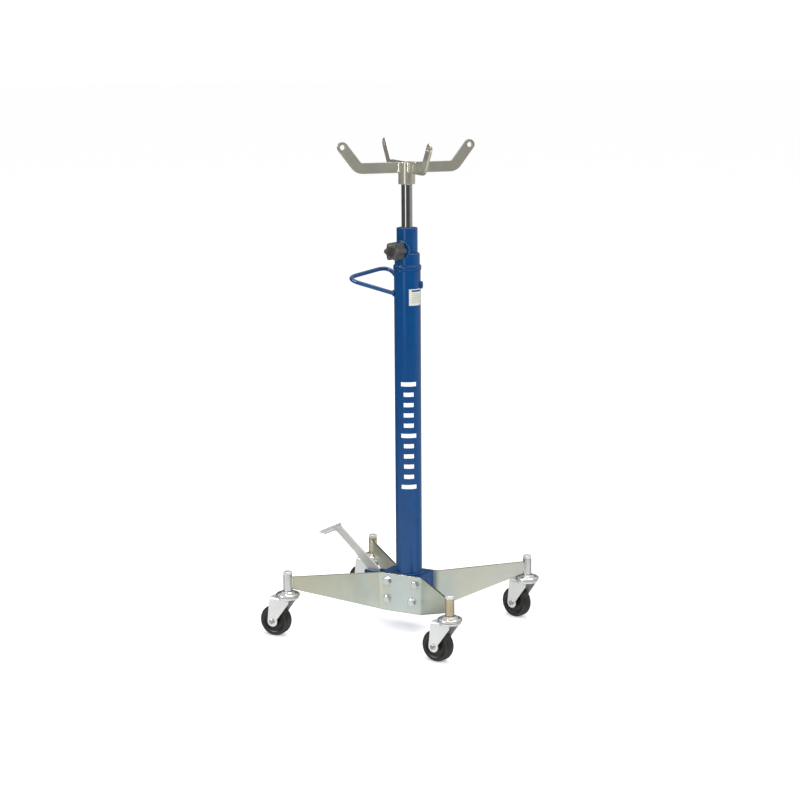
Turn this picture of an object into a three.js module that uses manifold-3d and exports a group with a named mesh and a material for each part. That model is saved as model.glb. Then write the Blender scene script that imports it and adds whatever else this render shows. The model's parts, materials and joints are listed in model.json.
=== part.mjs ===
// Transmission jack: a foot-pumped hydraulic column on a four-caster base, with a four-arm saddle.
// Millimetres, +Z up. Modelled about the column axis with the floor at z = 0.
import * as THREE from "three";
import { mergeVertices } from "three/addons/utils/BufferGeometryUtils.js";
import Module from "manifold-3d";

const wasm = await Module();
wasm.setup();

// ---- driving dimensions ---------------------------------------------------------------------
const GAP = 0.3; // clearance kept between touching pieces
const SEG = 24; // sides of a large round
const SEG_SMALL = 12; // sides of a small round

// casters
const WHEEL = { r: 37.5, width: 28, hubR: 12, hubWidth: 33, bore: 4.7 };
const TRAIL = 33.4; // swivel axis to axle
const SWIVEL_X = 220.8;
const SWIVEL_Y = 202.4;
const FORK = { inner: 17.6, sheet: 2.8, crownBottom: 94.5, crownTop: 97.5, tipR: 13 };
const RACE = { r: 29, bottom: 101.2, top: 113 };
const POST = { r: 10.65, bottom: 113.3, top: 153 };
const STEM = { r: 5, head: 8, af: 19, flangeR: 9 };
// corner name, side of the jack in x and y, and the way the trailing wheel lies, in degrees
const CORNERS = [
  ["front_left", -1, -1, 184],
  ["front_right", 1, -1, 173.5],
  ["rear_right", 1, 1, 166],
  ["rear_left", -1, 1, 174],
];

// leg plates, each folded twice at 45 degrees from one sheet
const PLATE = { sheet: 4.5, innerY: 36.3, halfFlat: 56, bendR: 12, fold: 44.7 };
const PLATE_TOP = { middle: 141, tip: 147 };
const PLATE_BOTTOM = { middle: 47.5, tip: 119, halfMiddle: 49 };
const LEG_BOLT = { r: 5, af: 17, head: 7, depth: 22 };
const BOLT_PLACES = [[-38.5, 120.5], [38.5, 120.5], [-38.5, 76.5], [30, 76.5]];

// pump block and its clevis
const BLOCK = { left: -62, right: 46.6, halfY: 36, bottom: 50, top: 139 };
const CHEEK = { left: -118, inner: 5, outer: 14, bottom: 106, top: 133 };
const PIVOT = { x: -98, z: 117, r: 5 };
const PLUNGER = { r: 8, z: 93, head: -90, length: 66, headR: 11, headLength: 4 };
const SPRING = { wire: 1.1, r: 10, turns: 4.5 };

// column
const TUBE = { r: 31.75, wall: 3, bottom: 139.3, top: 878 };
const CYLINDER = { r: 25, bore: 20, bottom: 133, top: 919.5 };
const CAP = { r: 33.5, bottom: 878.3, top: 890 };
const COLLAR = { r: 30, bottom: 890.3, top: 919.5, round: 4 };
const GLAND = { bottom: 919.8, top: 979, spigotBottom: 882 };
const WIPER = { r: 17, bottom: 971.3, top: 980.5 };
const ROD = { r: 13, bottom: 240, guideTop: 274, shoulder: 1080.7, spigotR: 10, top: 1120 };

// release valve, its axis level and pointing at VALVE.turn from +X
const VALVE = { turn: -94, z: 927, bossR: 23, bossEnd: 28.2, stemR: 5, tip: 25.8 };
const KNOB = { start: 29, neckR: 9, neck: 2.2, length: 39.7, r: 20, lobe: 2.6, lobes: 6 };

// push handle, filler plug
const HANDLE = { turn: 166.5, r: 5, reach: 133, half: 77, corner: 41, z: 862, lean: 8, rootZ: 822 };
const HANDLE_ROOT = { out: 20, side: 22 };
const FILLER = { turn: 20, z: 843, r: 5, headR: 8, head: 5 };

// saddle
const HUB = { r: 19.75, bottom: 1081, top: 1133 };
const ARM = { sheet: 6, height: 25.5, turn: 48.66, tilt: 52, holeR: 6, holeOut: 157.6, holeZ: 1170 };
const ARM_NAMES = ["right", "rear", "left", "front"];

// pedal, drawn in the x-z plane
const PEDAL = { sheet: 6, slope: 24.5 };
const PAD = { length: 41, width: 38, sheet: 3, wall: 8, x: -201.9, z: 233.6 };

// ---- finishes -------------------------------------------------------------------------------
function finish(color, roughness, metalness) {
  return new THREE.MeshStandardMaterial({ color, roughness, metalness });
}
const ZINC = finish(0xb4b9a6, 0.38, 0.85);
const BRIGHT_ZINC = finish(0xdfe1e0, 0.3, 0.8);
const YELLOW_ZINC = finish(0xb39f78, 0.35, 0.85);
const SADDLE_STEEL = finish(0x8f8b7a, 0.42, 0.85);
const BLUE_PAINT = finish(0x004a86, 0.3, 0.1);
const CHROME = finish(0xd9dadb, 0.08, 1);
const STEEL = finish(0x9b9c9c, 0.35, 0.9);
const BLACK_PLASTIC = finish(0x232420, 0.45, 0);
const BLACK_RUBBER = finish(0x1f1f1e, 0.6, 0);

// ---- solids ---------------------------------------------------------------------------------
const rad = THREE.MathUtils.degToRad;

function toSolid(geometry) {
  const bare = geometry.clone();
  bare.deleteAttribute("normal");
  bare.deleteAttribute("uv");
  const merged = mergeVertices(bare, 1e-4);
  const vertProperties = new Float32Array(merged.attributes.position.array);
  const triVerts = new Uint32Array(merged.index.array);
  return new wasm.Manifold(new wasm.Mesh({ numProp: 3, vertProperties, triVerts }));
}

function toGeometry(solid) {
  const mesh = solid.getMesh();
  const geometry = new THREE.BufferGeometry();
  geometry.setAttribute("position", new THREE.BufferAttribute(mesh.vertProperties, 3));
  geometry.setIndex(new THREE.BufferAttribute(mesh.triVerts, 1));
  return geometry;
}

function join(...geometries) {
  return toGeometry(geometries.map(toSolid).reduce((sum, next) => sum.add(next)));
}

function cut(geometry, ...tools) {
  return toGeometry(tools.map(toSolid).reduce((rest, tool) => rest.subtract(tool), toSolid(geometry)));
}

function common(a, b) {
  return toGeometry(toSolid(a).intersect(toSolid(b)));
}

// a turned piece about Z from [radius, height] points; the profile closes on itself
function turned(points, sides = SEG) {
  const profile = points.map(([r, z]) => new THREE.Vector2(r, z));
  if (points[0][0] > 0 || points.at(-1)[0] > 0) {
    profile.push(profile[0].clone());
  }
  return new THREE.LatheGeometry(profile, sides).rotateX(Math.PI / 2);
}

function ring(inner, outer, bottom, top, sides = SEG) {
  return turned([[inner, bottom], [outer, bottom], [outer, top], [inner, top]], sides);
}

function rod(r, bottom, top, sides = SEG_SMALL) {
  return turned([[0, bottom], [r, bottom], [r, top], [0, top]], sides);
}

// the same round bar lying along +X or +Y instead of +Z
function rodX(r, from, to, sides = SEG_SMALL) {
  return rod(r, from, to, sides).rotateY(Math.PI / 2);
}

function rodY(r, from, to, sides = SEG_SMALL) {
  return rod(r, from, to, sides).rotateX(-Math.PI / 2);
}

function box(x0, x1, y0, y1, z0, z1) {
  const geometry = new THREE.BoxGeometry(x1 - x0, y1 - y0, z1 - z0);
  return geometry.translate((x0 + x1) / 2, (y0 + y1) / 2, (z0 + z1) / 2);
}

// a sheet standing in the x-z plane, its outline drawn as (x, z), centred on y = 0
function sheetXZ(shape, thickness, curveSegments = 8) {
  const options = { depth: thickness, bevelEnabled: false, curveSegments };
  const geometry = new THREE.ExtrudeGeometry(shape, options);
  return geometry.rotateX(Math.PI / 2).translate(0, thickness / 2, 0);
}

function outline(points) {
  return new THREE.Shape(points.map(([x, y]) => new THREE.Vector2(x, y)));
}

// hexagon head with its top corners turned off, standing on z = 0
function hexHead(acrossFlats, height) {
  const corner = acrossFlats / 2 / Math.cos(Math.PI / 6);
  const hexagon = new THREE.CylinderGeometry(corner, corner, height, 6).rotateX(Math.PI / 2);
  hexagon.translate(0, 0, height / 2);
  const flat = acrossFlats / 2 - 0.3;
  const drop = (corner - flat) * 0.5;
  const cone = turned(
    [[0, -1], [corner + 1, -1], [corner + 1, height - drop - 0.5], [flat, height], [0, height]],
    12,
  );
  return common(hexagon, cone);
}

function part(name, geometry, material) {
  const mesh = new THREE.Mesh(geometry, material);
  mesh.name = name;
  return mesh;
}

// ---- base: leg plates -----------------------------------------------------------------------
// Plan of the folded sheet on the side of negative y: flat middle, a bend each way, straight wings.
function platePlan() {
  const fold = rad(PLATE.fold);
  const inner = -PLATE.innerY;
  const outer = inner - PLATE.sheet;
  const centreY = inner - PLATE.bendR - PLATE.sheet;
  const bendX = PLATE.halfFlat - 4;
  const reach = (SWIVEL_Y - PLATE.innerY) / Math.sin(fold);
  const along = [Math.cos(fold) * reach, -Math.sin(fold) * reach];
  const rOut = PLATE.bendR;
  const rIn = PLATE.bendR + PLATE.sheet;
  const steps = 4;
  const right = { outer: [], inner: [] };
  for (let i = 0; i <= steps; i += 1) {
    const a = Math.PI / 2 - (fold * i) / steps;
    right.outer.push([bendX + rOut * Math.cos(a), centreY + rOut * Math.sin(a)]);
    right.inner.push([bendX + rIn * Math.cos(a), centreY + rIn * Math.sin(a)]);
  }
  right.outer.push([right.outer.at(-1)[0] + along[0], right.outer.at(-1)[1] + along[1]]);
  right.inner.push([right.inner.at(-1)[0] + along[0], right.inner.at(-1)[1] + along[1]]);
  const mirrored = (points) => points.map(([x, y]) => [-x, y]);
  const loop = [
    ...right.outer,
    ...right.inner.slice().reverse(),
    ...mirrored(right.inner),
    ...mirrored(right.outer).reverse(),
  ];
  return outline(loop);
}

function legPlate(side) {
  const plan = new THREE.ExtrudeGeometry(platePlan(), { depth: 200, bevelEnabled: false });
  const x = SWIVEL_X;
  const elevation = outline([
    [-x, PLATE_TOP.tip],
    [-x, PLATE_BOTTOM.tip],
    [-PLATE_BOTTOM.halfMiddle, PLATE_BOTTOM.middle],
    [PLATE_BOTTOM.halfMiddle, PLATE_BOTTOM.middle],
    [x, PLATE_BOTTOM.tip],
    [x, PLATE_TOP.tip],
    [PLATE.halfFlat, PLATE_TOP.middle],
    [-PLATE.halfFlat, PLATE_TOP.middle],
  ]);
  const folded = common(plan, sheetXZ(elevation, 600));
  const holes = BOLT_PLACES.map(([bx, bz]) => {
    return rodY(LEG_BOLT.r + GAP, -60, -30).translate(bx, 0, bz);
  });
  const posts = [-1, 1].map((s) => rod(POST.r + 2 * GAP, 0, 200, SEG).translate(s * SWIVEL_X, -SWIVEL_Y, 0));
  const plate = cut(folded, ...holes, ...posts);
  return side < 0 ? plate : plate.scale(1, -1, 1);
}

// a mirrored mesh has its triangles turned over so that its faces point out again
function turnOver(geometry) {
  const index = geometry.index.array;
  for (let i = 0; i < index.length; i += 3) {
    [index[i], index[i + 1]] = [index[i + 1], index[i]];
  }
  return geometry;
}

function legBolt() {
  const shank = rodY(LEG_BOLT.r, -0.5, LEG_BOLT.depth + PLATE.sheet);
  const head = hexHead(LEG_BOLT.af, LEG_BOLT.head).rotateX(Math.PI / 2);
  return join(shank, head).translate(0, -PLATE.innerY - PLATE.sheet - GAP, 0);
}

function addLegs(jack) {
  for (const [name, side] of [["front", -1], ["rear", 1]]) {
    const plate = side < 0 ? legPlate(side) : turnOver(legPlate(side));
    jack.add(part(`${name}_leg_plate`, plate, ZINC));
    BOLT_PLACES.forEach(([x, z], i) => {
      const bolt = part(`${name}_leg_bolt_${i + 1}`, legBolt(), BRIGHT_ZINC);
      bolt.rotation.z = side < 0 ? 0 : Math.PI;
      bolt.position.set(x, 0, z);
      jack.add(bolt);
    });
  }
}

// ---- base: casters --------------------------------------------------------------------------
function casterStem() {
  const shank = rod(STEM.r, FORK.crownBottom - 4.5, POST.top + GAP + 1);
  const rivet = rod(STEM.flangeR, FORK.crownBottom - 5, FORK.crownBottom - GAP);
  const head = hexHead(STEM.af, STEM.head).translate(0, 0, POST.top + GAP);
  return join(shank, rivet, head);
}

// pressed ball-race cup, open underneath
function casterRaceway() {
  const hole = STEM.r + GAP;
  return turned([
    [hole, RACE.top - 3.5],
    [14.5, RACE.top - 3.5],
    [RACE.r - 1.8, RACE.top - 7.5],
    [RACE.r - 1.8, RACE.bottom],
    [RACE.r, RACE.bottom],
    [RACE.r, RACE.top - 6],
    [15, RACE.top],
    [hole, RACE.top],
  ], 20);
}

// one leg of the fork, drawn with x along the trail and z up
function forkLegShape() {
  const shape = new THREE.Shape();
  const z = WHEEL.r;
  shape.moveTo(-11, FORK.crownTop);
  shape.lineTo(-11, 86);
  shape.lineTo(TRAIL - FORK.tipR * 0.94, z + FORK.tipR * 0.35);
  shape.absarc(TRAIL, z, FORK.tipR, rad(160), rad(368), false);
  shape.lineTo(TRAIL + 7.5, FORK.crownTop);
  return shape;
}

function casterFork() {
  const legs = [-1, 1].map((side) => {
    const leg = sheetXZ(forkLegShape(), FORK.sheet, 5);
    return leg.translate(0, side * (FORK.inner + FORK.sheet / 2), 0);
  });
  const width = FORK.inner + FORK.sheet;
  const crown = join(
    rod(26, FORK.crownBottom, FORK.crownTop, 20),
    box(0, TRAIL + 7.5, -width, width, FORK.crownBottom, FORK.crownTop),
    ring(18, 26, FORK.crownTop - 1, FORK.crownTop + 3, 20),
  );
  const body = join(crown, ...legs);
  const axleHole = rodY(4 + GAP, -40, 40).translate(TRAIL, 0, WHEEL.r);
  return cut(body, rod(STEM.r + GAP, 80, 120), axleHole);
}

function casterAxle() {
  const end = FORK.inner + FORK.sheet + GAP;
  const head = hexHead(11, 4).rotateX(Math.PI / 2).translate(0, -end, 0);
  const nut = hexHead(11, 4).rotateX(-Math.PI / 2).translate(0, end, 0);
  return join(rodY(4, -end - 1, end + 1), head, nut).translate(TRAIL, 0, WHEEL.r);
}

function casterWheel() {
  const half = WHEEL.width / 2;
  const hub = WHEEL.hubWidth / 2;
  const side = [
    [WHEEL.bore, hub],
    [WHEEL.hubR, hub],
    [WHEEL.hubR + 2, half - 4],
    [26, half - 4],
    [29, half],
    [WHEEL.r - 4, half],
    [WHEEL.r, half - 5],
  ];
  const other = side.map(([r, y]) => [r, -y]);
  return turned([...other, ...side.reverse()]).rotateX(Math.PI / 2).translate(TRAIL, 0, WHEEL.r);
}

function addCasters(jack) {
  for (const [name, sx, sy, turn] of CORNERS) {
    const corner = new THREE.Group();
    corner.position.set(sx * SWIVEL_X, sy * SWIVEL_Y, 0);
    jack.add(corner);
    corner.add(part(`${name}_caster_post`, ring(STEM.r + GAP, POST.r, POST.bottom, POST.top, 16), YELLOW_ZINC));
    corner.add(part(`${name}_caster_stem`, casterStem(), BRIGHT_ZINC));
    corner.add(part(`${name}_caster_raceway`, casterRaceway(), BRIGHT_ZINC));
    const swivel = new THREE.Group();
    swivel.rotation.z = rad(turn);
    corner.add(swivel);
    swivel.add(part(`${name}_caster_fork`, casterFork(), BRIGHT_ZINC));
    swivel.add(part(`${name}_caster_axle`, casterAxle(), STEEL));
    swivel.add(part(`${name}_caster_wheel`, casterWheel(), BLACK_RUBBER));
  }
}

// ---- pump: block, plunger, spring, pedal -----------------------------------------------------
function pumpBlock() {
  const body = box(BLOCK.left, BLOCK.right, -BLOCK.halfY, BLOCK.halfY, BLOCK.bottom, BLOCK.top);
  const cheeks = [-1, 1].map((s) => {
    const [y0, y1] = [s * CHEEK.inner, s * CHEEK.outer].sort((a, b) => a - b);
    return box(CHEEK.left, BLOCK.left + 1, y0, y1, CHEEK.bottom, CHEEK.top);
  });
  const seat = rod(CYLINDER.r + GAP, CYLINDER.bottom - GAP, BLOCK.top + 1, SEG);
  const plungerBore = rodX(PLUNGER.r + GAP, BLOCK.left - 5, PLUNGER.head + PLUNGER.length + 14);
  plungerBore.translate(0, 0, PLUNGER.z);
  const oilWay = rod(3, PLUNGER.z, CYLINDER.bottom, 12).translate(-18, 0, 0);
  const pin = rodY(PIVOT.r + GAP, -30, 30).translate(PIVOT.x, 0, PIVOT.z);
  const threads = BOLT_PLACES.flatMap(([x, z]) => [
    rodY(LEG_BOLT.r + GAP, -BLOCK.halfY - 1, -BLOCK.halfY + 24).translate(x, 0, z),
    rodY(LEG_BOLT.r + GAP, BLOCK.halfY - 24, BLOCK.halfY + 1).translate(x, 0, z),
  ]);
  return cut(join(body, ...cheeks), seat, plungerBore, oilWay, pin, ...threads);
}

// the plunger lies along +X and carries a round pressure head outside its return spring
function pumpPlunger() {
  const stem = rodX(PLUNGER.r, PLUNGER.head, PLUNGER.head + PLUNGER.length);
  const head = rodX(PLUNGER.headR, PLUNGER.head - PLUNGER.headLength, PLUNGER.head);
  return join(stem, head).translate(0, 0, PLUNGER.z);
}

class Helix extends THREE.Curve {
  constructor(radius, start, end, turns) {
    super();
    Object.assign(this, { radius, start, end, turns });
  }

  getPoint(t, target = new THREE.Vector3()) {
    const a = t * this.turns * 2 * Math.PI;
    const x = THREE.MathUtils.lerp(this.start, this.end, t);
    return target.set(x, this.radius * Math.cos(a), this.radius * Math.sin(a));
  }
}

function circle(r, sides) {
  const points = [];
  for (let i = 0; i < sides; i += 1) {
    const a = (2 * Math.PI * i) / sides;
    points.push([r * Math.cos(a), r * Math.sin(a)]);
  }
  return outline(points);
}

function pumpSpring() {
  const start = PLUNGER.head + SPRING.wire + GAP;
  const end = BLOCK.left - SPRING.wire - GAP;
  const coil = new Helix(SPRING.r, start, end, SPRING.turns);
  const steps = Math.round(SPRING.turns * 10);
  const wire = new THREE.ExtrudeGeometry(circle(SPRING.wire, 6), { steps, extrudePath: coil });
  return wire.translate(0, 0, PLUNGER.z);
}

function pivotPin() {
  const half = CHEEK.outer + 1;
  const shank = rodY(PIVOT.r, -half, half + 3);
  const head = rodY(PIVOT.r + 3, -half - 3, -half);
  return join(shank, head).translate(PIVOT.x, 0, PIVOT.z);
}

// pedal lever: tail against the plunger, boss on the pin, tapering arm, short leg under the pad
function pedalShape() {
  const shape = new THREE.Shape();
  shape.moveTo(-242, 203);
  shape.lineTo(-214, 216);
  shape.quadraticCurveTo(-207, 219.5, -200, 214.5);
  shape.lineTo(-155, 173.5);
  shape.lineTo(-119, 137);
  shape.quadraticCurveTo(-112, 128, PIVOT.x - 13, PIVOT.z);
  shape.lineTo(-109, PLUNGER.z);
  shape.absarc(-102, PLUNGER.z, 7, rad(180), rad(360), false);
  shape.lineTo(-95, 105);
  shape.quadraticCurveTo(-93, 109, -85, 111);
  shape.lineTo(-81, 121);
  shape.lineTo(-83, 136);
  shape.lineTo(-91.6, 145);
  shape.lineTo(-138.6, 184);
  shape.lineTo(-191, 230);
  shape.lineTo(-195, 229);
  shape.lineTo(-240.5, 207.5);
  return shape;
}

function pumpPedal() {
  const hole = rodY(PIVOT.r + GAP, -10, 10).translate(PIVOT.x, 0, PIVOT.z);
  return cut(sheetXZ(pedalShape(), PEDAL.sheet), hole);
}

// folded foot tray: floor, two side walls and a lip that leans outwards
function pedalPad() {
  const half = PAD.width / 2;
  const floor = box(-PAD.length, 0, -half, half, 0, PAD.sheet);
  const walls = [-1, 1].map((s) => {
    const [y0, y1] = [s * half, s * (half - 2.5)].sort((a, b) => a - b);
    return box(-PAD.length + 3, 0, y0, y1, 0, PAD.wall);
  });
  const lip = box(-2.5, 0, -half + 3, half - 3, 0, PAD.wall + 2).rotateY(rad(-40));
  lip.translate(-PAD.length + 2, 0, 0.5);
  const tray = join(floor, ...walls, lip);
  return tray.rotateY(rad(-PEDAL.slope)).translate(PAD.x, 0, PAD.z - 6.5);
}

function addPump(jack) {
  jack.add(part("pump_block", pumpBlock(), BLUE_PAINT));
  jack.add(part("pump_plunger", pumpPlunger(), CHROME));
  jack.add(part("pump_return_spring", pumpSpring(), STEEL));
  jack.add(part("pedal_pivot_pin", pivotPin(), STEEL));
  jack.add(part("pump_pedal", pumpPedal(), BRIGHT_ZINC));
  jack.add(part("pedal_foot_tray", pedalPad(), BRIGHT_ZINC));
}

// ---- column ---------------------------------------------------------------------------------
function reservoirTube() {
  const tube = ring(TUBE.r - TUBE.wall, TUBE.r, TUBE.bottom, TUBE.top);
  const hole = rodX(FILLER.r + GAP, 20, 40).rotateZ(rad(FILLER.turn)).translate(0, 0, FILLER.z);
  return cut(tube, hole);
}

function fillerPlug() {
  const head = hexHead(FILLER.headR * 2, FILLER.head).rotateY(Math.PI / 2);
  const shank = rodX(FILLER.r, -6, 0.5);
  return join(head, shank).translate(TUBE.r + GAP, 0, 0);
}

function reservoirCap() {
  const inner = CYLINDER.r + GAP;
  return turned([
    [inner, CAP.bottom],
    [CAP.r, CAP.bottom],
    [CAP.r, CAP.top - 2],
    [CAP.r - 2, CAP.top],
    [inner, CAP.top],
  ]);
}

function valveCollar() {
  const inner = CYLINDER.r + GAP;
  const ringBody = turned([
    [inner - 5, COLLAR.bottom],
    [COLLAR.r, COLLAR.bottom],
    [COLLAR.r, COLLAR.top - COLLAR.round],
    [COLLAR.r - COLLAR.round * 0.3, COLLAR.top - COLLAR.round * 0.3],
    [COLLAR.r - COLLAR.round, COLLAR.top],
    [inner - 5, COLLAR.top],
  ]);
  const boss = rodX(VALVE.bossR, 15, VALVE.bossEnd, SEG);
  boss.rotateZ(rad(VALVE.turn)).translate(0, 0, VALVE.z);
  const bore = rodX(VALVE.stemR + GAP, 10, 50).rotateZ(rad(VALVE.turn)).translate(0, 0, VALVE.z);
  return cut(join(ringBody, boss), rod(inner, 800, 1000, SEG), bore);
}

function glandHead() {
  const bore = ROD.r + GAP;
  const r = CYLINDER.r;
  return turned([
    [bore, GLAND.spigotBottom],
    [CYLINDER.bore - GAP, GLAND.spigotBottom],
    [CYLINDER.bore - GAP, GLAND.bottom],
    [r, GLAND.bottom],
    [r, GLAND.top - 2],
    [r - 2, GLAND.top],
    [WIPER.r + GAP, GLAND.top],
    [WIPER.r + GAP, WIPER.bottom - GAP],
    [bore, WIPER.bottom - GAP],
  ]);
}

function rodWiper() {
  return turned([
    [ROD.r + GAP, WIPER.bottom],
    [WIPER.r, WIPER.bottom],
    [WIPER.r, GLAND.top],
    [ROD.r + 1.5, WIPER.top],
    [ROD.r + GAP, WIPER.top],
  ]);
}

// handle rod: straight, corner, crossbar, corner, straight, in the handle's own frame; the crossbar
// leans, so that its far end is higher
function handlePath() {
  const { reach, half, corner, z, lean, rootZ } = HANDLE;
  const root = (s) => new THREE.Vector3(HANDLE_ROOT.out, s * HANDLE_ROOT.side, rootZ);
  const turn = (s) => new THREE.Vector3(reach, s * half, z - s * lean);
  const towards = (from, to, d) => from.clone().add(to.clone().sub(from).setLength(d));
  const path = new THREE.CurvePath();
  const first = towards(turn(-1), root(-1), corner);
  const second = towards(turn(-1), turn(1), corner);
  const third = towards(turn(1), turn(-1), corner);
  const fourth = towards(turn(1), root(1), corner);
  path.add(new THREE.LineCurve3(root(-1), first));
  path.add(new THREE.QuadraticBezierCurve3(first, turn(-1), second));
  path.add(new THREE.LineCurve3(second, third));
  path.add(new THREE.QuadraticBezierCurve3(third, turn(1), fourth));
  path.add(new THREE.LineCurve3(fourth, root(1)));
  return path;
}

function pushHandle() {
  const bar = new THREE.ExtrudeGeometry(circle(HANDLE.r, 10), { steps: 30, extrudePath: handlePath() });
  bar.rotateZ(rad(HANDLE.turn));
  return cut(bar, rod(TUBE.r + GAP, 700, 950, SEG));
}

function addColumn(jack) {
  const cylinder = ring(CYLINDER.bore, CYLINDER.r, CYLINDER.bottom, CYLINDER.top);
  jack.add(part("reservoir_tube", reservoirTube(), BLUE_PAINT));
  jack.add(part("pressure_cylinder", cylinder, STEEL));
  jack.add(part("reservoir_cap", reservoirCap(), BLUE_PAINT));
  jack.add(part("valve_collar", valveCollar(), BLUE_PAINT));
  jack.add(part("gland_head", glandHead(), BLUE_PAINT));
  jack.add(part("rod_wiper", rodWiper(), BLACK_RUBBER));
  jack.add(part("push_handle", pushHandle(), BLUE_PAINT));
  const plug = part("filler_plug", fillerPlug(), BLUE_PAINT);
  plug.rotation.z = rad(FILLER.turn);
  plug.position.z = FILLER.z;
  jack.add(plug);
}

// ---- release valve --------------------------------------------------------------------------
function starKnob() {
  const points = [];
  const around = KNOB.lobes * 6;
  for (let i = 0; i < around; i += 1) {
    const a = (2 * Math.PI * i) / around;
    const r = KNOB.r - 1.5 + KNOB.lobe * Math.cos(KNOB.lobes * a);
    points.push([r * Math.cos(a), r * Math.sin(a)]);
  }
  const bevel = { bevelThickness: 1.5, bevelSize: 1.5, bevelSegments: 1 };
  const depth = KNOB.length - KNOB.neck - 3;
  const star = new THREE.ExtrudeGeometry(outline(points), { depth, ...bevel });
  star.translate(0, 0, KNOB.neck + 1.5);
  const neck = rod(KNOB.neckR, 0, KNOB.neck + 2, SEG_SMALL);
  const bore = rod(VALVE.stemR + GAP, -1, 16);
  const dish = rod(11, KNOB.length - 1.5, KNOB.length + 5, SEG_SMALL);
  return cut(join(star, neck), bore, dish).rotateY(Math.PI / 2).translate(KNOB.start, 0, 0);
}

function valveSpindle() {
  const { tip } = VALVE;
  const end = KNOB.start + 15.5;
  return turned([[0, tip], [2, tip + 2], [VALVE.stemR, tip + 5], [VALVE.stemR, end], [0, end]], SEG_SMALL)
    .rotateY(Math.PI / 2);
}

function addReleaseValve(jack) {
  const valve = new THREE.Group();
  valve.rotation.z = rad(VALVE.turn);
  valve.position.z = VALVE.z;
  valve.add(part("release_knob", starKnob(), BLACK_PLASTIC));
  valve.add(part("release_spindle", valveSpindle(), STEEL));
  jack.add(valve);
}

// ---- ram and saddle -------------------------------------------------------------------------
function ramRod() {
  return turned([
    [0, ROD.bottom],
    [9, ROD.bottom],
    [9, ROD.guideTop + GAP],
    [ROD.r, ROD.guideTop + GAP],
    [ROD.r, ROD.shoulder - 1],
    [ROD.r - 1, ROD.shoulder],
    [ROD.spigotR, ROD.shoulder],
    [ROD.spigotR, ROD.top],
    [0, ROD.top],
  ]);
}

function saddleHub() {
  const bore = ROD.spigotR + GAP;
  return turned([
    [bore, HUB.bottom],
    [HUB.r - 1.5, HUB.bottom],
    [HUB.r, HUB.bottom + 1.5],
    [HUB.r, HUB.top - 1],
    [HUB.r - 1, HUB.top],
    [0, HUB.top],
    [0, ROD.top + 1],
    [bore, ROD.top + 1],
  ]);
}

// bar on edge, running out from the hub and then up to a rounded eye
function armShape() {
  const half = ARM.height / 2;
  const tilt = rad(ARM.tilt);
  const midZ = HUB.top - half;
  const cornerOut = ARM.holeOut - (ARM.holeZ - midZ) / Math.tan(tilt);
  const inset = half * Math.tan(tilt / 2);
  const up = [Math.cos(tilt), Math.sin(tilt)];
  const innerCorner = [cornerOut - inset, HUB.top];
  const outerCorner = [cornerOut + inset, HUB.top - ARM.height];
  const round = 16;
  const shape = new THREE.Shape();
  shape.moveTo(HUB.r + GAP, HUB.top);
  shape.lineTo(HUB.r + GAP, HUB.top - ARM.height);
  shape.lineTo(outerCorner[0] - round, outerCorner[1]);
  const bendEnd = [outerCorner[0] + up[0] * round, outerCorner[1] + up[1] * round];
  shape.quadraticCurveTo(outerCorner[0], outerCorner[1], bendEnd[0], bendEnd[1]);
  shape.absarc(ARM.holeOut, ARM.holeZ, half, tilt - Math.PI / 2, tilt + Math.PI / 2, false);
  shape.lineTo(innerCorner[0], innerCorner[1]);
  const eye = new THREE.Path();
  eye.absarc(ARM.holeOut, ARM.holeZ, ARM.holeR, 0, 2 * Math.PI, true);
  shape.holes.push(eye);
  return shape;
}

function addRam(jack) {
  const guide = ring(9 + GAP, CYLINDER.bore - 0.4, ROD.guideTop - 28, ROD.guideTop);
  jack.add(part("ram_rod", ramRod(), CHROME));
  jack.add(part("ram_guide", guide, STEEL));
  jack.add(part("saddle_hub", saddleHub(), SADDLE_STEEL));
  ARM_NAMES.forEach((name, i) => {
    const arm = part(`saddle_arm_${name}`, sheetXZ(armShape(), ARM.sheet), SADDLE_STEEL);
    arm.rotation.z = rad(ARM.turn + 90 * i);
    jack.add(arm);
  });
}

// ---- the jack, stood on the middle of its bounding box ----------------------------------------
const jack = new THREE.Group();
addLegs(jack);
addCasters(jack);
addPump(jack);
addColumn(jack);
addReleaseValve(jack);
addRam(jack);

const bounds = new THREE.Box3().setFromObject(jack, true);
const middle = bounds.getCenter(new THREE.Vector3());
jack.position.set(-middle.x, -middle.y, -bounds.min.z);

export default jack;
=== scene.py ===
# %% [markdown]
# # A transmission jack, finished in Blender
# The jack has a tall blue oil column with a chromed ram, a saddle of four bent arms, and a base of
# two folded zinc-plated sheets on four casters. Its sizes and joints come ready from the packed
# frame. Here each piece gets its fine surface: rounded edges, weld beads, and a finish made of nodes.

# %% Load the frame
import json
import math
import bmesh
import bpy
from mathutils import Matrix, Quaternion, Vector

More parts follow.
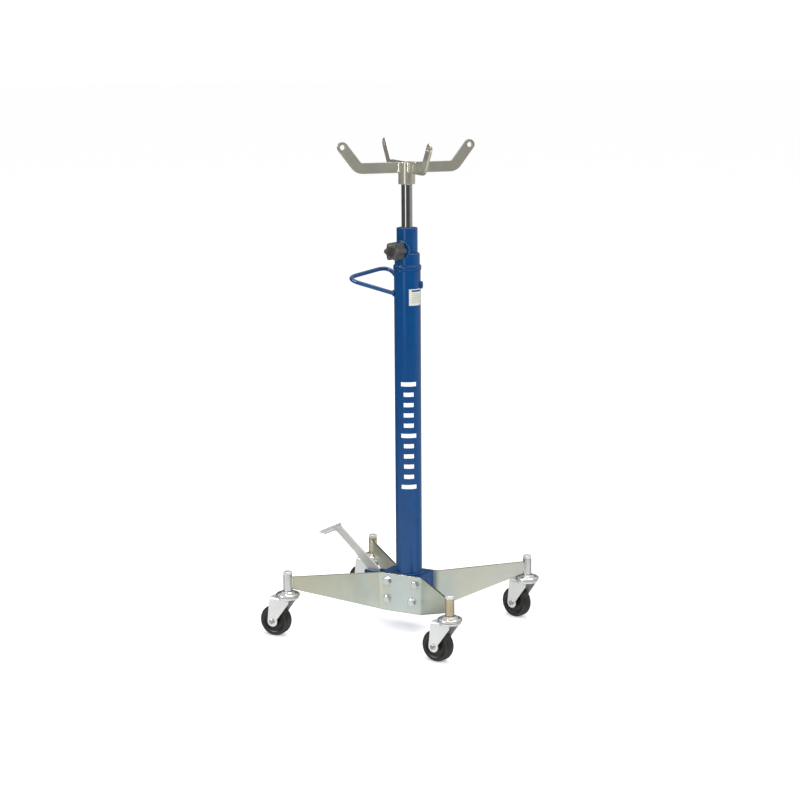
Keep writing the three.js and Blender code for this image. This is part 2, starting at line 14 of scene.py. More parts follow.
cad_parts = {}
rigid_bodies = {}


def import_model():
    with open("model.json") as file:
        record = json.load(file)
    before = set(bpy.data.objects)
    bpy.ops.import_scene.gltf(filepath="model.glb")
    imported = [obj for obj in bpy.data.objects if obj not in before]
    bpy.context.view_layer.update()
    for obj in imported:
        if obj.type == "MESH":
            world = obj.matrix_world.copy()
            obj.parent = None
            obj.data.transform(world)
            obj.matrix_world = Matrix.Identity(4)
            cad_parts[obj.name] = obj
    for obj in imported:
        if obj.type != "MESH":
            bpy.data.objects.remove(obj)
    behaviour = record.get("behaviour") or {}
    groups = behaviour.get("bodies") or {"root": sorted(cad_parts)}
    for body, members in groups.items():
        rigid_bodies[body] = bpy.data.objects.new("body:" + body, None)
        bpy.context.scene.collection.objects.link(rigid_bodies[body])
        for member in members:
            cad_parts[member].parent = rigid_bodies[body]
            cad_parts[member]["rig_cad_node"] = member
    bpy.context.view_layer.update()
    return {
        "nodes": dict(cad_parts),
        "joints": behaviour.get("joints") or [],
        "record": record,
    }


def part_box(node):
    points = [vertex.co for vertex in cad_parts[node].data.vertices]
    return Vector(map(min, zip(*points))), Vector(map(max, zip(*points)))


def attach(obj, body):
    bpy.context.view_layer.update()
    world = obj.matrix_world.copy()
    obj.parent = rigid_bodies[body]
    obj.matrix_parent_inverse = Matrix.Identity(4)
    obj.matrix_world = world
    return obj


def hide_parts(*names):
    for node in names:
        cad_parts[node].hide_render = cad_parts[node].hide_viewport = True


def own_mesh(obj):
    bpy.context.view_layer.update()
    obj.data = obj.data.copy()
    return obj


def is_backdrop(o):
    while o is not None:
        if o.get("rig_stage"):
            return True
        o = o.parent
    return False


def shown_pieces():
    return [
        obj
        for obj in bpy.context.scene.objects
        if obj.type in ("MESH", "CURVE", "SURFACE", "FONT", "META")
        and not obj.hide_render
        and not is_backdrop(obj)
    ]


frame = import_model()
joints = {joint["name"]: joint for joint in frame["joints"]}

# %% [markdown]
# Places are read from the frame. The column's axis is the middle of the reservoir tube's box, and
# heights are the tops and bottoms of the boxes of their nodes. Only what a box can't tell, such as a
# wall's thickness, the handle's bends or the pedal's outline, is a named length in metres.

# %% Places read from the frame
MM = 0.001


def low(node):
    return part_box(node)[0]


def high(node):
    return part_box(node)[1]


tube_low, tube_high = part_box("reservoir_tube")
AXIS = Vector(((tube_low.x + tube_high.x) / 2, (tube_low.y + tube_high.y) / 2, 0))
TO_AXIS = Matrix.Translation(AXIS)
CORNERS = ("front_left", "front_right", "rear_right", "rear_left")
ARMS = ("right", "rear", "left", "front")
print("column axis", tuple(round(v, 4) for v in AXIS))

# %% [markdown]
# ## Camera
# The camera stands well back with a long lens, a little above the saddle's height, as for a
# catalogue picture. A long lens keeps the column's sides nearly parallel.

# %% Camera
VIEW_AZIMUTH = math.radians(29.41)
VIEW_ELEVATION = math.radians(10.25)
VIEW_ROLL = -0.00615
VIEW_DISTANCE = 4.728
VIEW_TARGET = AXIS + Vector((0, 0, 0.5808))


def add_camera():
    back = Vector((
        math.sin(VIEW_AZIMUTH) * math.cos(VIEW_ELEVATION),
        -math.cos(VIEW_AZIMUTH) * math.cos(VIEW_ELEVATION),
        math.sin(VIEW_ELEVATION),
    ))
    right = (-back).cross(Vector((0, 0, 1))).normalized()
    up = right.cross(-back)
    tilted_right = right * math.cos(VIEW_ROLL) + up * math.sin(VIEW_ROLL)
    tilted_up = up * math.cos(VIEW_ROLL) - right * math.sin(VIEW_ROLL)
    data = bpy.data.cameras.new("camera")
    data.sensor_width = 36
    data.lens = 88.79
    data.shift_x = -0.01003
    data.shift_y = -0.00827
    data.clip_end = 200
    camera = bpy.data.objects.new("camera", data)
    turn = Matrix((tilted_right, tilted_up, back)).transposed().to_4x4()
    camera.matrix_world = Matrix.Translation(VIEW_TARGET + back * VIEW_DISTANCE) @ turn
    bpy.context.collection.objects.link(camera)
    bpy.context.scene.camera = camera
    return camera


camera = add_camera()
print("camera at", tuple(round(v, 3) for v in camera.location))

# %% [markdown]
# ## Studio
# The floor is one large pale disc that glows a little, so that it stays white under the jack and only
# the soft shadows show. It is left out of reflections, where the world stands in for it.

# %% Floor
FLOOR_RADIUS = 60
FLOOR_GLOW = 0.30


def add_floor():
    bm = bmesh.new()
    bmesh.ops.create_circle(bm, cap_ends=True, segments=64, radius=FLOOR_RADIUS)
    mesh = bpy.data.meshes.new("floor")
    bm.to_mesh(mesh)
    bm.free()
    floor = bpy.data.objects.new("floor", mesh)
    bpy.context.collection.objects.link(floor)
    material = bpy.data.materials.new("floor_paper")
    material.use_nodes = True
    shader = material.node_tree.nodes["Principled BSDF"]
    shader.inputs["Base Color"].default_value = (0.86, 0.86, 0.86, 1)
    shader.inputs["Roughness"].default_value = 0.9
    shader.inputs["Specular IOR Level"].default_value = 0.1
    shader.inputs["Emission Color"].default_value = (1, 1, 1, 1)
    shader.inputs["Emission Strength"].default_value = FLOOR_GLOW
    mesh.materials.append(material)
    floor.visible_glossy = False
    floor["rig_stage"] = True


add_floor()
print("floor radius", FLOOR_RADIUS)

# %% [markdown]
# Four lamps light the jack. The key and the fill model its shape and are hidden from reflections, the
# top lamp whitens what faces up, and the small spark lamp is only there to be mirrored by bright zinc.

# %% Lamps
def add_lamp(name, place, aim, size, watts, mirrored=False, diffuse=True):
    data = bpy.data.lights.new(name, "AREA")
    data.shape = "RECTANGLE"
    data.size, data.size_y = size
    data.energy = watts
    lamp = bpy.data.objects.new(name, data)
    lamp.location = place
    lamp.visible_glossy = mirrored
    lamp.visible_diffuse = diffuse
    lamp.rotation_mode = "QUATERNION"
    lamp.rotation_quaternion = (Vector(place) - Vector(aim)).to_track_quat("Z", "Y")
    bpy.context.collection.objects.link(lamp)
    return lamp


add_lamp("key_lamp", (2.9, -3.0, 3.0), (0, 0, 0.6), (1.6, 2.2), 95)
add_lamp("fill_lamp", (-4.2, -1.6, 2.2), (0, 0, 0.6), (1.2, 2.6), 18)
add_lamp("top_lamp", (0.2, 0.6, 4.2), (0, 0, 0.3), (3.0, 3.0), 70, mirrored=True)
add_lamp("spark_lamp", (-2.0, -3.2, 2.6), (0, 0, 0.6), (1.8, 1.0), 130, mirrored=True, diffuse=False)

# %% [markdown]
# The world is white to the eye but has brighter and darker sides in reflections. Polished metal only
# looks like metal when it has something dark as well as something bright to mirror. Each side is a
# smooth ramp on the dot product of a ray with a direction, and the brightest of them wins.

# %% World
WORLD_LIGHT = 0.82
WORLD_SEEN = 1.05


def ramp_of(nodes, links, value, low_in, high_in, low_out, high_out):
    """A smooth step from one strength to another as value rises."""
    step = nodes.new("ShaderNodeMapRange")
    step.interpolation_type = "SMOOTHSTEP"
    step.inputs["From Min"].default_value = low_in
    step.inputs["From Max"].default_value = high_in
    step.inputs["To Min"].default_value = low_out
    step.inputs["To Max"].default_value = high_out
    links.new(value, step.inputs["Value"])
    return step.outputs["Result"]


def towards(nodes, links, where, direction):
    """How nearly a ray goes in a direction, as a dot product."""
    dot = nodes.new("ShaderNodeVectorMath")
    dot.operation = "DOT_PRODUCT"
    dot.inputs[1].default_value = Vector(direction).normalized()
    links.new(where, dot.inputs[0])
    return dot.outputs["Value"]


def combined(nodes, links, operation, values):
    total = values[0]
    for value in values[1:]:
        pick = nodes.new("ShaderNodeMath")
        pick.operation = operation
        links.new(total, pick.inputs[0])
        links.new(value, pick.inputs[1])
        total = pick.outputs[0]
    return total


def add_world():
    world = bpy.data.worlds.new("studio")
    world.use_nodes = True
    nodes, links = world.node_tree.nodes, world.node_tree.links
    background = nodes["Background"]
    background.inputs["Color"].default_value = (1.0, 1.0, 1.0, 1)
    where = nodes.new("ShaderNodeTexCoord").outputs["Generated"]
    ray = nodes.new("ShaderNodeLightPath")
    up = towards(nodes, links, where, (0, 0, 1))
    down = towards(nodes, links, where, (0, 0, -1))
    ahead = towards(nodes, links, where, (0.03, -1, 0))
    front_right = towards(nodes, links, where, (0.3, -1, 0))
    behind = towards(nodes, links, where, (0.6, 0.8, 0))
    # a narrow bright window in front, which draws the light line down the ram
    strip = combined(nodes, links, "MULTIPLY", [
        ramp_of(nodes, links, ahead, 0.974, 0.992, 0.0, 1.8),
        ramp_of(nodes, links, up, -0.15, -0.10, 0.0, 1.0),
    ])
    # the pale floor, as bright as it looks from the front
    ground = combined(nodes, links, "MULTIPLY", [
        ramp_of(nodes, links, down, 0.14, 0.28, 0.0, 1.05),
        ramp_of(nodes, links, front_right, -0.6, 0.5, 0.05, 1.0),
    ])
    side = ramp_of(nodes, links, behind, 0.35, 0.95, 0.11, 0.50)
    ceiling = ramp_of(nodes, links, up, 0.30, 0.55, 0.0, 0.85)
    mirrored = combined(nodes, links, "MAXIMUM", [strip, ground, side, ceiling])
    lit = nodes.new("ShaderNodeMix")
    lit.inputs[3].default_value = WORLD_LIGHT
    seen = nodes.new("ShaderNodeMix")
    seen.inputs[3].default_value = WORLD_SEEN
    links.new(ray.outputs["Is Diffuse Ray"], lit.inputs[0])
    links.new(mirrored, lit.inputs[2])
    links.new(ray.outputs["Is Camera Ray"], seen.inputs[0])
    links.new(lit.outputs[0], seen.inputs[2])
    links.new(seen.outputs[0], background.inputs["Strength"])
    bpy.context.scene.world = world


add_world()
bpy.context.scene.view_settings.view_transform = "Standard"
print("world", bpy.context.scene.world.name)

# %% [markdown]
# ## Shared effects for the finishes
# Two effects are shared by the finishes: a fine mottling of colour and gloss, and the thin film that
# passivating leaves on zinc. Each is built once as a node group and placed with its own values.

# %% Node helpers
def new_group(name, inputs, outputs):
    group = bpy.data.node_groups.new(name, "ShaderNodeTree")
    for label, kind, value in inputs:
        socket = group.interface.new_socket(label, in_out="INPUT", socket_type=kind)
        socket.default_value = value
    for label, kind in outputs:
        group.interface.new_socket(label, in_out="OUTPUT", socket_type=kind)
    group.nodes.new("NodeGroupInput")
    group.nodes.new("NodeGroupOutput")
    return group


def group_ends(group):
    return group.nodes["Group Input"], group.nodes["Group Output"]


print("node helpers ready")

# %% [markdown]
# No real surface has quite one colour. The mottle blends two near colours with broad noise, and lets
# fine noise vary the roughness and give a height for the bump.

# %% Mottle
def mottle_group():
    group = new_group(
        "mottle",
        [
            ("Color A", "NodeSocketColor", (0.5, 0.5, 0.5, 1)),
            ("Color B", "NodeSocketColor", (0.6, 0.6, 0.6, 1)),
            ("Scale", "NodeSocketFloat", 30.0),
            ("Rough Low", "NodeSocketFloat", 0.3),
            ("Rough High", "NodeSocketFloat", 0.5),
        ],
        [("Color", "NodeSocketColor"), ("Roughness", "NodeSocketFloat"), ("Height", "NodeSocketFloat")],
    )
    source, target = group_ends(group)
    nodes, links = group.nodes, group.links
    place = nodes.new("ShaderNodeTexCoord")
    broad = nodes.new("ShaderNodeTexNoise")
    broad.inputs["Detail"].default_value = 6
    fine = nodes.new("ShaderNodeTexNoise")
    fine.inputs["Detail"].default_value = 3
    finer = nodes.new("ShaderNodeMath")
    finer.operation = "MULTIPLY"
    finer.inputs[1].default_value = 14
    spread = nodes.new("ShaderNodeMapRange")
    spread.interpolation_type = "SMOOTHSTEP"
    spread.inputs["From Min"].default_value = 0.33
    spread.inputs["From Max"].default_value = 0.67
    blend = nodes.new("ShaderNodeMix")
    blend.data_type = "RGBA"
    gloss = nodes.new("ShaderNodeMapRange")
    links.new(place.outputs["Object"], broad.inputs["Vector"])
    links.new(place.outputs["Object"], fine.inputs["Vector"])
    links.new(source.outputs["Scale"], broad.inputs["Scale"])
    links.new(source.outputs["Scale"], finer.inputs[0])
    links.new(finer.outputs[0], fine.inputs["Scale"])
    links.new(broad.outputs["Fac"], spread.inputs["Value"])
    links.new(spread.outputs["Result"], blend.inputs[0])
    links.new(source.outputs["Color A"], blend.inputs[6])
    links.new(source.outputs["Color B"], blend.inputs[7])
    links.new(fine.outputs["Fac"], gloss.inputs["Value"])
    links.new(source.outputs["Rough Low"], gloss.inputs["To Min"])
    links.new(source.outputs["Rough High"], gloss.inputs["To Max"])
    links.new(blend.outputs[2], target.inputs["Color"])
    links.new(gloss.outputs["Result"], target.inputs["Roughness"])
    links.new(fine.outputs["Fac"], target.inputs["Height"])
    return group


MOTTLE = mottle_group()
print("group", MOTTLE.name)

# %% [markdown]
# Passivated zinc is yellow in some places and faintly blue in others, as its film is thicker or
# thinner. A colour ramp along the sheet holds the tints, and noise shifts them to and fro a little.

# %% Zinc film
# how far along the sheet, 0 to 1, and the film's tint there
FILM_TINTS = [
    (0.04, (0.90, 0.82, 0.62, 1)),
    (0.16, (0.79, 0.79, 0.64, 1)),
    (0.31, (0.80, 0.82, 0.70, 1)),
    (0.38, (0.84, 0.92, 0.88, 1)),
    (0.42, (0.96, 0.96, 0.84, 1)),
    (0.47, (0.86, 0.96, 0.98, 1)),
    (0.58, (0.88, 0.96, 0.96, 1)),
    (0.66, (0.84, 0.90, 0.86, 1)),
    (0.76, (0.95, 0.96, 0.84, 1)),
    (0.94, (0.94, 0.96, 0.90, 1)),
]


def bloom_group():
    """Passivate film: its tint drifts along X, from one leg tip over the middle to the other."""
    group = new_group(
        "zinc_bloom",
        [("Color", "NodeSocketColor", (0.6, 0.6, 0.55, 1)), ("Amount", "NodeSocketFloat", 0.5)],
        [("Color", "NodeSocketColor")],
    )
    source, target = group_ends(group)
    nodes, links = group.nodes, group.links
    place = nodes.new("ShaderNodeTexCoord")
    cloud = nodes.new("ShaderNodeTexNoise")
    cloud.inputs["Scale"].default_value = 14
    cloud.inputs["Detail"].default_value = 3
    drift = nodes.new("ShaderNodeMapRange")
    drift.inputs["To Min"].default_value = -0.05
    drift.inputs["To Max"].default_value = 0.05
    apart = nodes.new("ShaderNodeSeparateXYZ")
    along = nodes.new("ShaderNodeMath")
    share = nodes.new("ShaderNodeMapRange")
    share.inputs["From Min"].default_value = -0.25
    share.inputs["From Max"].default_value = 0.25
    film = nodes.new("ShaderNodeValToRGB")
    ramp = film.color_ramp
    ramp.elements[0].position, ramp.elements[0].color = FILM_TINTS[0]
    ramp.elements[1].position, ramp.elements[1].color = FILM_TINTS[-1]
    for spot, color in FILM_TINTS[1:-1]:
        ramp.elements.new(spot).color = color
    tint = nodes.new("ShaderNodeMix")
    tint.data_type = "RGBA"
    tint.blend_type = "MULTIPLY"
    links.new(place.outputs["Object"], cloud.inputs["Vector"])
    links.new(place.outputs["Object"], apart.inputs["Vector"])
    links.new(cloud.outputs["Fac"], drift.inputs["Value"])
    links.new(apart.outputs["X"], along.inputs[0])
    links.new(drift.outputs["Result"], along.inputs[1])
    links.new(along.outputs[0], share.inputs["Value"])
    links.new(share.outputs["Result"], film.inputs["Fac"])
    links.new(source.outputs["Amount"], tint.inputs[0])
    links.new(source.outputs["Color"], tint.inputs[6])
    links.new(film.outputs["Color"], tint.inputs[7])
    links.new(tint.outputs[2], target.inputs["Color"])
    return group


BLOOM = bloom_group()
print("group", BLOOM.name, "tints", len(FILM_TINTS))

# %% [markdown]
# A finish is one Principled shader. The mottle feeds its colour and roughness and, through a Bump
# node, its normal. A number that is the same all over, such as metallic, sits on the shader.

# %% Finishes
RELIEF = 0.0004


def finish(name, color_a, color_b, rough, scale, bump, metallic=0.0, bloom=0.0):
    material = bpy.data.materials.new(name)
    material.use_nodes = True
    nodes, links = material.node_tree.nodes, material.node_tree.links
    shader = nodes["Principled BSDF"]
    mottle = nodes.new("ShaderNodeGroup")
    mottle.node_tree = MOTTLE
    mottle.inputs["Color A"].default_value = (*color_a, 1)
    mottle.inputs["Color B"].default_value = (*color_b, 1)
    mottle.inputs["Scale"].default_value = scale
    mottle.inputs["Rough Low"].default_value, mottle.inputs["Rough High"].default_value = rough
    relief = nodes.new("ShaderNodeBump")
    relief.inputs["Strength"].default_value = bump
    relief.inputs["Distance"].default_value = RELIEF
    color = mottle.outputs["Color"]
    if bloom:
        film = nodes.new("ShaderNodeGroup")
        film.node_tree = BLOOM
        film.inputs["Amount"].default_value = bloom
        links.new(color, film.inputs["Color"])
        color = film.outputs["Color"]
    links.new(color, shader.inputs["Base Color"])
    links.new(mottle.outputs["Roughness"], shader.inputs["Roughness"])
    links.new(mottle.outputs["Height"], relief.inputs["Height"])
    links.new(relief.outputs["Normal"], shader.inputs["Normal"])
    shader.inputs["Metallic"].default_value = metallic
    return material


# each line: the two colours, the two roughnesses, the pattern's scale, the bump and the metallic
BLUE_ENAMEL = finish("blue_enamel", (0.0, 0.0415, 0.150), (0.0, 0.046, 0.161), (0.10, 0.16), 45, 0.04)
ZINC_PLATE = finish("zinc_plate", (0.67, 0.68, 0.65), (0.73, 0.74, 0.71), (0.30, 0.40), 7, 0.02, 0.75, 1.0)
CUT_EDGE = finish("cut_edge", (0.22, 0.20, 0.14), (0.31, 0.28, 0.20), (0.16, 0.28), 60, 0.04, 0.95)
BRIGHT_ZINC = finish("bright_zinc", (0.74, 0.75, 0.74), (0.80, 0.81, 0.80), (0.27, 0.30), 12, 0.002, 0.65)
# the lever and tray use bright zinc made darker: the lower colour is painted shade, and the higher roughness
# is their own duller finish
SHADED_PEDAL_ZINC = finish("pedal_zinc_shaded", (0.60, 0.60, 0.57), (0.66, 0.66, 0.63), (0.31, 0.34), 14, 0.002, 0.7)
POLISHED_ZINC = finish("polished_zinc", (0.60, 0.61, 0.59), (0.68, 0.69, 0.67), (0.10, 0.18), 12, 0.005, 0.92)
YELLOW_ZINC = finish("yellow_zinc", (0.48, 0.40, 0.26), (0.60, 0.52, 0.36), (0.18, 0.28), 25, 0.03, 0.8)
SADDLE_ZINC = finish("saddle_zinc", (0.50, 0.485, 0.405), (0.565, 0.55, 0.465), (0.12, 0.22), 18, 0.02, 0.72)
WELD_METAL = finish("weld_metal", (0.70, 0.69, 0.62), (0.82, 0.81, 0.74), (0.14, 0.26), 60, 0.10, 0.8)
CHROME = finish("hard_chrome", (0.50, 0.50, 0.50), (0.55, 0.55, 0.55), (0.05, 0.09), 60, 0.02, 1.0)
PLAIN_STEEL = finish("plain_steel", (0.36, 0.36, 0.36), (0.46, 0.46, 0.46), (0.28, 0.42), 60, 0.15, 0.9)
KNOB_PLASTIC = finish("knob_plastic", (0.040, 0.041, 0.036), (0.054, 0.054, 0.047), (0.34, 0.46), 90, 0.2)
WHEEL_RUBBER = finish("wheel_rubber", (0.009, 0.009, 0.007), (0.016, 0.016, 0.013), (0.28, 0.42), 45, 0.1)
SEAL_RUBBER = finish("seal_rubber", (0.02, 0.02, 0.02), (0.03, 0.03, 0.03), (0.5, 0.6), 80, 0.3)
WHITE_PRINT = finish("white_print", (0.74, 0.75, 0.76), (0.79, 0.80, 0.81), (0.35, 0.45), 50, 0.08)
STICKER_PAPER = finish("sticker_paper", (0.50, 0.50, 0.45), (0.55, 0.55, 0.49), (0.35, 0.45), 50, 0.08)
ROW_PRINT = finish("row_print", (0.30, 0.31, 0.29), (0.36, 0.37, 0.34), (0.4, 0.5), 80, 0.05)
print("finishes", len([m for m in bpy.data.materials if m.use_nodes]))

# %% [markdown]
# ## Helpers that shape a mesh
# Nearly every piece of the jack is turned, cut from plate, or drawn from round bar. So three helpers
# cover most of them: `turned` spins a half outline about Z, `plate` fills an outline and gives it
# thickness, and `drawn` pulls a round section along a line. `soften` then rounds the sharp edges,
# since no real edge is knife-sharp and it is the rounding that catches the light.

# %% soften, turned and plate
def soften(bm, width, segments=3, above=28):
    """Round every edge that turns by more than `above` degrees."""
    sharp = [e for e in bm.edges if e.is_manifold and e.calc_face_angle(0) > math.radians(above)]
    bmesh.ops.bevel(bm, geom=sharp, offset=width, offset_type="OFFSET", segments=segments, profile=0.5,
                    affect="EDGES", clamp_overlap=True, material=-1)
    return bm


def clean(bm):
    bmesh.ops.remove_doubles(bm, verts=bm.verts, dist=1e-6)
    bmesh.ops.recalc_face_normals(bm, faces=bm.faces)
    return bm


def turned(profile, sides=96):
    """Spin (radius, height) points about Z. The profile closes on itself or ends on the axis."""
    bm = bmesh.new()
    points = [bm.verts.new((radius, 0, height)) for radius, height in profile]
    solid = profile[0][0] == 0 and profile[-1][0] == 0
    following = points[1:] if solid else points[1:] + points[:1]
    for start, end in zip(points, following):
        bm.edges.new((start, end))
    bmesh.ops.spin(bm, geom=bm.verts[:] + bm.edges[:], cent=(0, 0, 0), axis=(0, 0, 1),
                   angle=math.tau, steps=sides, use_merge=True)
    return clean(bm)


def plate(outline, thickness, holes=()):
    """Fill an outline of (x, y) points, less its holes, and give it thickness about z = 0."""
    bm = bmesh.new()
    edges = []
    for loop in (outline, *holes):
        points = [bm.verts.new((x, y, -thickness / 2)) for x, y in loop]
        edges += [bm.edges.new(pair) for pair in zip(points, points[1:] + points[:1])]
    bmesh.ops.triangle_fill(bm, use_beauty=True, edges=edges)
    bmesh.ops.dissolve_limit(bm, angle_limit=math.radians(1), verts=bm.verts, edges=bm.edges)
    grown = bmesh.ops.extrude_face_region(bm, geom=bm.faces[:])["geom"]
    moved = [item for item in grown if isinstance(item, bmesh.types.BMVert)]
    bmesh.ops.translate(bm, verts=moved, vec=(0, 0, thickness))
    return clean(bm)


print("turned, plate and soften ready")

# %% [markdown]
# `drawn` carries one ring from point to point. It turns the ring by the smallest turn that follows the
# line, so that the bar does not twist, and bridges each ring to the one before.

# %% drawn
def drawn(points, radius, sides=16, closed=False):
    """Pull a round section along points. radius is a number or a function of the share 0 to 1."""
    size = radius if callable(radius) else lambda share: radius
    count = len(points)
    bm = bmesh.new()
    turn = Quaternion()
    ring = first = None
    for i, point in enumerate(points):
        ahead = points[(i + 1) % count] if closed else points[min(i + 1, count - 1)]
        behind = points[i - 1] if closed else points[max(i - 1, 0)]
        way = (Vector(ahead) - Vector(behind)).normalized()
        heading = turn @ Vector((0, 0, 1))
        turn = heading.rotation_difference(way) @ turn
        place = Matrix.Translation(Vector(point)) @ turn.to_matrix().to_4x4()
        place = place @ Matrix.Scale(size(i / (count - 1)), 4)
        fresh = bmesh.ops.create_circle(bm, segments=sides, radius=1, matrix=place)["verts"]
        edges = list({edge for vert in fresh for edge in vert.link_edges})
        if ring is None:
            first = edges
        else:
            bmesh.ops.bridge_loops(bm, edges=ring + edges)
        ring = edges
    if closed:
        bmesh.ops.bridge_loops(bm, edges=ring + first)
    else:
        bmesh.ops.edgeloop_fill(bm, edges=first)
        bmesh.ops.edgeloop_fill(bm, edges=ring)
    return clean(bm)


print("drawn ready")

# %% [markdown]
# Outlines have straight runs joined by round corners. `arc` gives the points of a round stretch, and
# `rounded` turns a list of corners with their radii into one smooth outline.

# %% Outlines and places
def arc(centre, radius, start, end, steps=12):
    """Points of an arc from start to end, in degrees."""
    angles = [math.radians(start + (end - start) * i / steps) for i in range(steps + 1)]
    return [(centre[0] + radius * math.cos(a), centre[1] + radius * math.sin(a)) for a in angles]


def rounded(corners, steps=6):
    """An outline from (x, y, radius) corners, each rounded by an arc of its radius."""
    points = []
    for i, (x, y, radius) in enumerate(corners):
        here = Vector((x, y))
        before = (Vector(corners[i - 1][:2]) - here).normalized()
        after = (Vector(corners[(i + 1) % len(corners)][:2]) - here).normalized()
        half = before.angle(after) / 2
        if radius == 0 or half > math.radians(89):
            points.append((x, y))
            continue
        middle = here + (before + after).normalized() * radius / math.sin(half)
        start = here + before * radius / math.tan(half) - middle
        end = here + after * radius / math.tan(half) - middle
        sweep = start.angle_signed(end)
        for step in range(steps + 1):
            spot = start.copy()
            spot.rotate(Matrix.Rotation(-sweep * step / steps, 2))
            points.append(tuple(middle + spot))
    return points


def about_z(degrees):
    return Matrix.Rotation(math.radians(degrees), 4, "Z")


def facing(direction):
    """A turn that takes Z to a direction."""
    return Vector(direction).to_track_quat("Z", "Y").to_matrix().to_4x4()


def placed(bm, *moves):
    """Move a mesh by matrices, the last one first."""
    for move in reversed(moves):
        bmesh.ops.transform(bm, matrix=move, verts=bm.verts)
    return bm


def merged(*parts):
    """One mesh out of several."""
    whole = bmesh.new()
    for bm in parts:
        mesh = bpy.data.meshes.new("joined")
        bm.to_mesh(mesh)
        bm.free()
        whole.from_mesh(mesh)
        bpy.data.meshes.remove(mesh)
    return whole


def add_piece(name, bm, material, body, slot, *nodes):
    """Finish a mesh as a piece that rides on a body and stands for the CAD nodes named."""
    bmesh.ops.recalc_face_normals(bm, faces=bm.faces)
    mesh = bpy.data.meshes.new(name)
    bm.to_mesh(mesh)
    bm.free()
    mesh.polygons.foreach_set("use_smooth", [True] * len(mesh.polygons))
    mesh.set_sharp_from_angle(angle=math.radians(50))
    mesh.materials.append(material)
    piece = bpy.data.objects.new(name, mesh)
    bpy.context.collection.objects.link(piece)
    weighted = piece.modifiers.new("even_shading", "WEIGHTED_NORMAL")
    weighted.keep_sharp = True
    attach(piece, body)
    if nodes:
        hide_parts(*nodes)
    return piece


print("places ready")

# %% [markdown]
# ## Column
# The column is a stack of turned pieces: reservoir tube, cap, valve collar and neck. Each is a short
# profile spun about the axis, with its edges softened by about a millimetre under the enamel.

# %% Reservoir tube, cap and neck
FIT = 0.0003
EDGE = 0.0009
TUBE_WALL = 0.003
GLAND_STEP = 0.0055
tube_radius = (tube_high.x - tube_low.x) / 2
cap_radius = (high("reservoir_cap").x - low("reservoir_cap").x) / 2
neck_radius = (high("gland_head").x - low("gland_head").x) / 2
cylinder_radius = (high("pressure_cylinder").x - low("pressure_cylinder").x) / 2
collar_radius = high("valve_collar").x - AXIS.x


def ring_profile(inner, outer, bottom, top):
    return [(inner, bottom), (outer, bottom), (outer, top), (inner, top)]


def add_ring(name, inner, outer, edge, material=BLUE_ENAMEL, slot="blue_paint"):
    profile = ring_profile(inner, outer, low(name).z, high(name).z)
    bm = soften(turned(profile), edge)
    return add_piece(name + "_fine", placed(bm, TO_AXIS), material, "frame", slot, name)


add_ring("reservoir_tube", tube_radius - TUBE_WALL, tube_radius, EDGE)
add_ring("reservoir_cap", cylinder_radius + FIT, cap_radius, 0.0022)
wiper_radius = (high("rod_wiper").x - low("rod_wiper").x) / 2
rod_radius = (high("ram_rod").x - low("ram_rod").x) / 2


def add_neck():
    bottom, top = low("gland_head").z, high("gland_head").z
    seat = low("rod_wiper").z
    shelf = high("pressure_cylinder").z
    profile = [
        (rod_radius + FIT, bottom),
        (neck_radius - GLAND_STEP, bottom),
        (neck_radius - GLAND_STEP, shelf),
        (neck_radius, shelf + FIT),
        (neck_radius, top),
        (wiper_radius + FIT, top),
        (wiper_radius + FIT, seat),
        (rod_radius + FIT, seat),
    ]
    return add_piece("gland_head_fine", placed(soften(turned(profile), 0.0018), TO_AXIS),
                     BLUE_ENAMEL, "frame", "blue_paint", "gland_head")


def add_wiper():
    bottom, top = low("rod_wiper").z, high("rod_wiper").z
    lip = rod_radius + 0.0002
    profile = [
        (lip, bottom),
        (wiper_radius, bottom),
        (wiper_radius, top - 0.0012),
        (rod_radius + 0.0024, top - 0.0012),
        (lip + 0.0008, top),
        (lip, top),
    ]
    return add_piece("rod_wiper_fine", placed(soften(turned(profile), 0.0003), TO_AXIS),
                     SEAL_RUBBER, "frame", "seal_rubber", "rod_wiper")


add_neck()
add_wiper()
print("tube radius", round(tube_radius, 4), "neck radius", round(neck_radius, 4))

# %% [markdown]
# The valve collar is a ring with a large round on its top edge, and a round boss that carries the
# release valve. The boss lies on the valve's own axis, which the frame gives as a joint.

# %% Valve collar and boss
valve = joints["release_turn"]
valve_axis = Vector(valve["axis"]).normalized()
valve_height = valve["pos_m"][2]
TO_VALVE = Matrix.Translation(AXIS + Vector((0, 0, valve_height))) @ facing(valve_axis)
COLLAR_ROUND = 0.004
BOSS_RADIUS = 0.023
BOSS_START = 0.020
BOSS_END = 0.0282


def add_collar():
    bottom, top = low("valve_collar").z, high("pressure_cylinder").z
    inner = cylinder_radius + FIT
    ring = turned(ring_profile(inner, collar_radius, bottom, top))

    def on_shoulder(vert):
        return vert.co.z > top - 1e-5 and vert.co.xy.length > inner + 0.001

    shoulder = [edge for edge in ring.edges if all(on_shoulder(vert) for vert in edge.verts)]
    bmesh.ops.bevel(ring, geom=shoulder, offset=COLLAR_ROUND, segments=6, profile=0.5,
                    affect="EDGES", material=-1)
    boss = turned([(0, BOSS_START), (BOSS_RADIUS, BOSS_START), (BOSS_RADIUS, BOSS_END), (0, BOSS_END)])
    soften(boss, 0.0016, 4)
    bm = merged(placed(ring, TO_AXIS), placed(boss, TO_VALVE))
    return add_piece("valve_collar_fine", bm, BLUE_ENAMEL, "frame", "blue_paint", "valve_collar")


add_collar()
print("valve at height", round(valve_height, 4))

# %% [markdown]
# A weld bead is a row of overlapping ripples. `bead` draws a round section along the joint and lets
# its radius swell and shrink with each ripple, so the enamel over it catches small highlights.

# %% Weld beads
RIPPLE = 0.0022


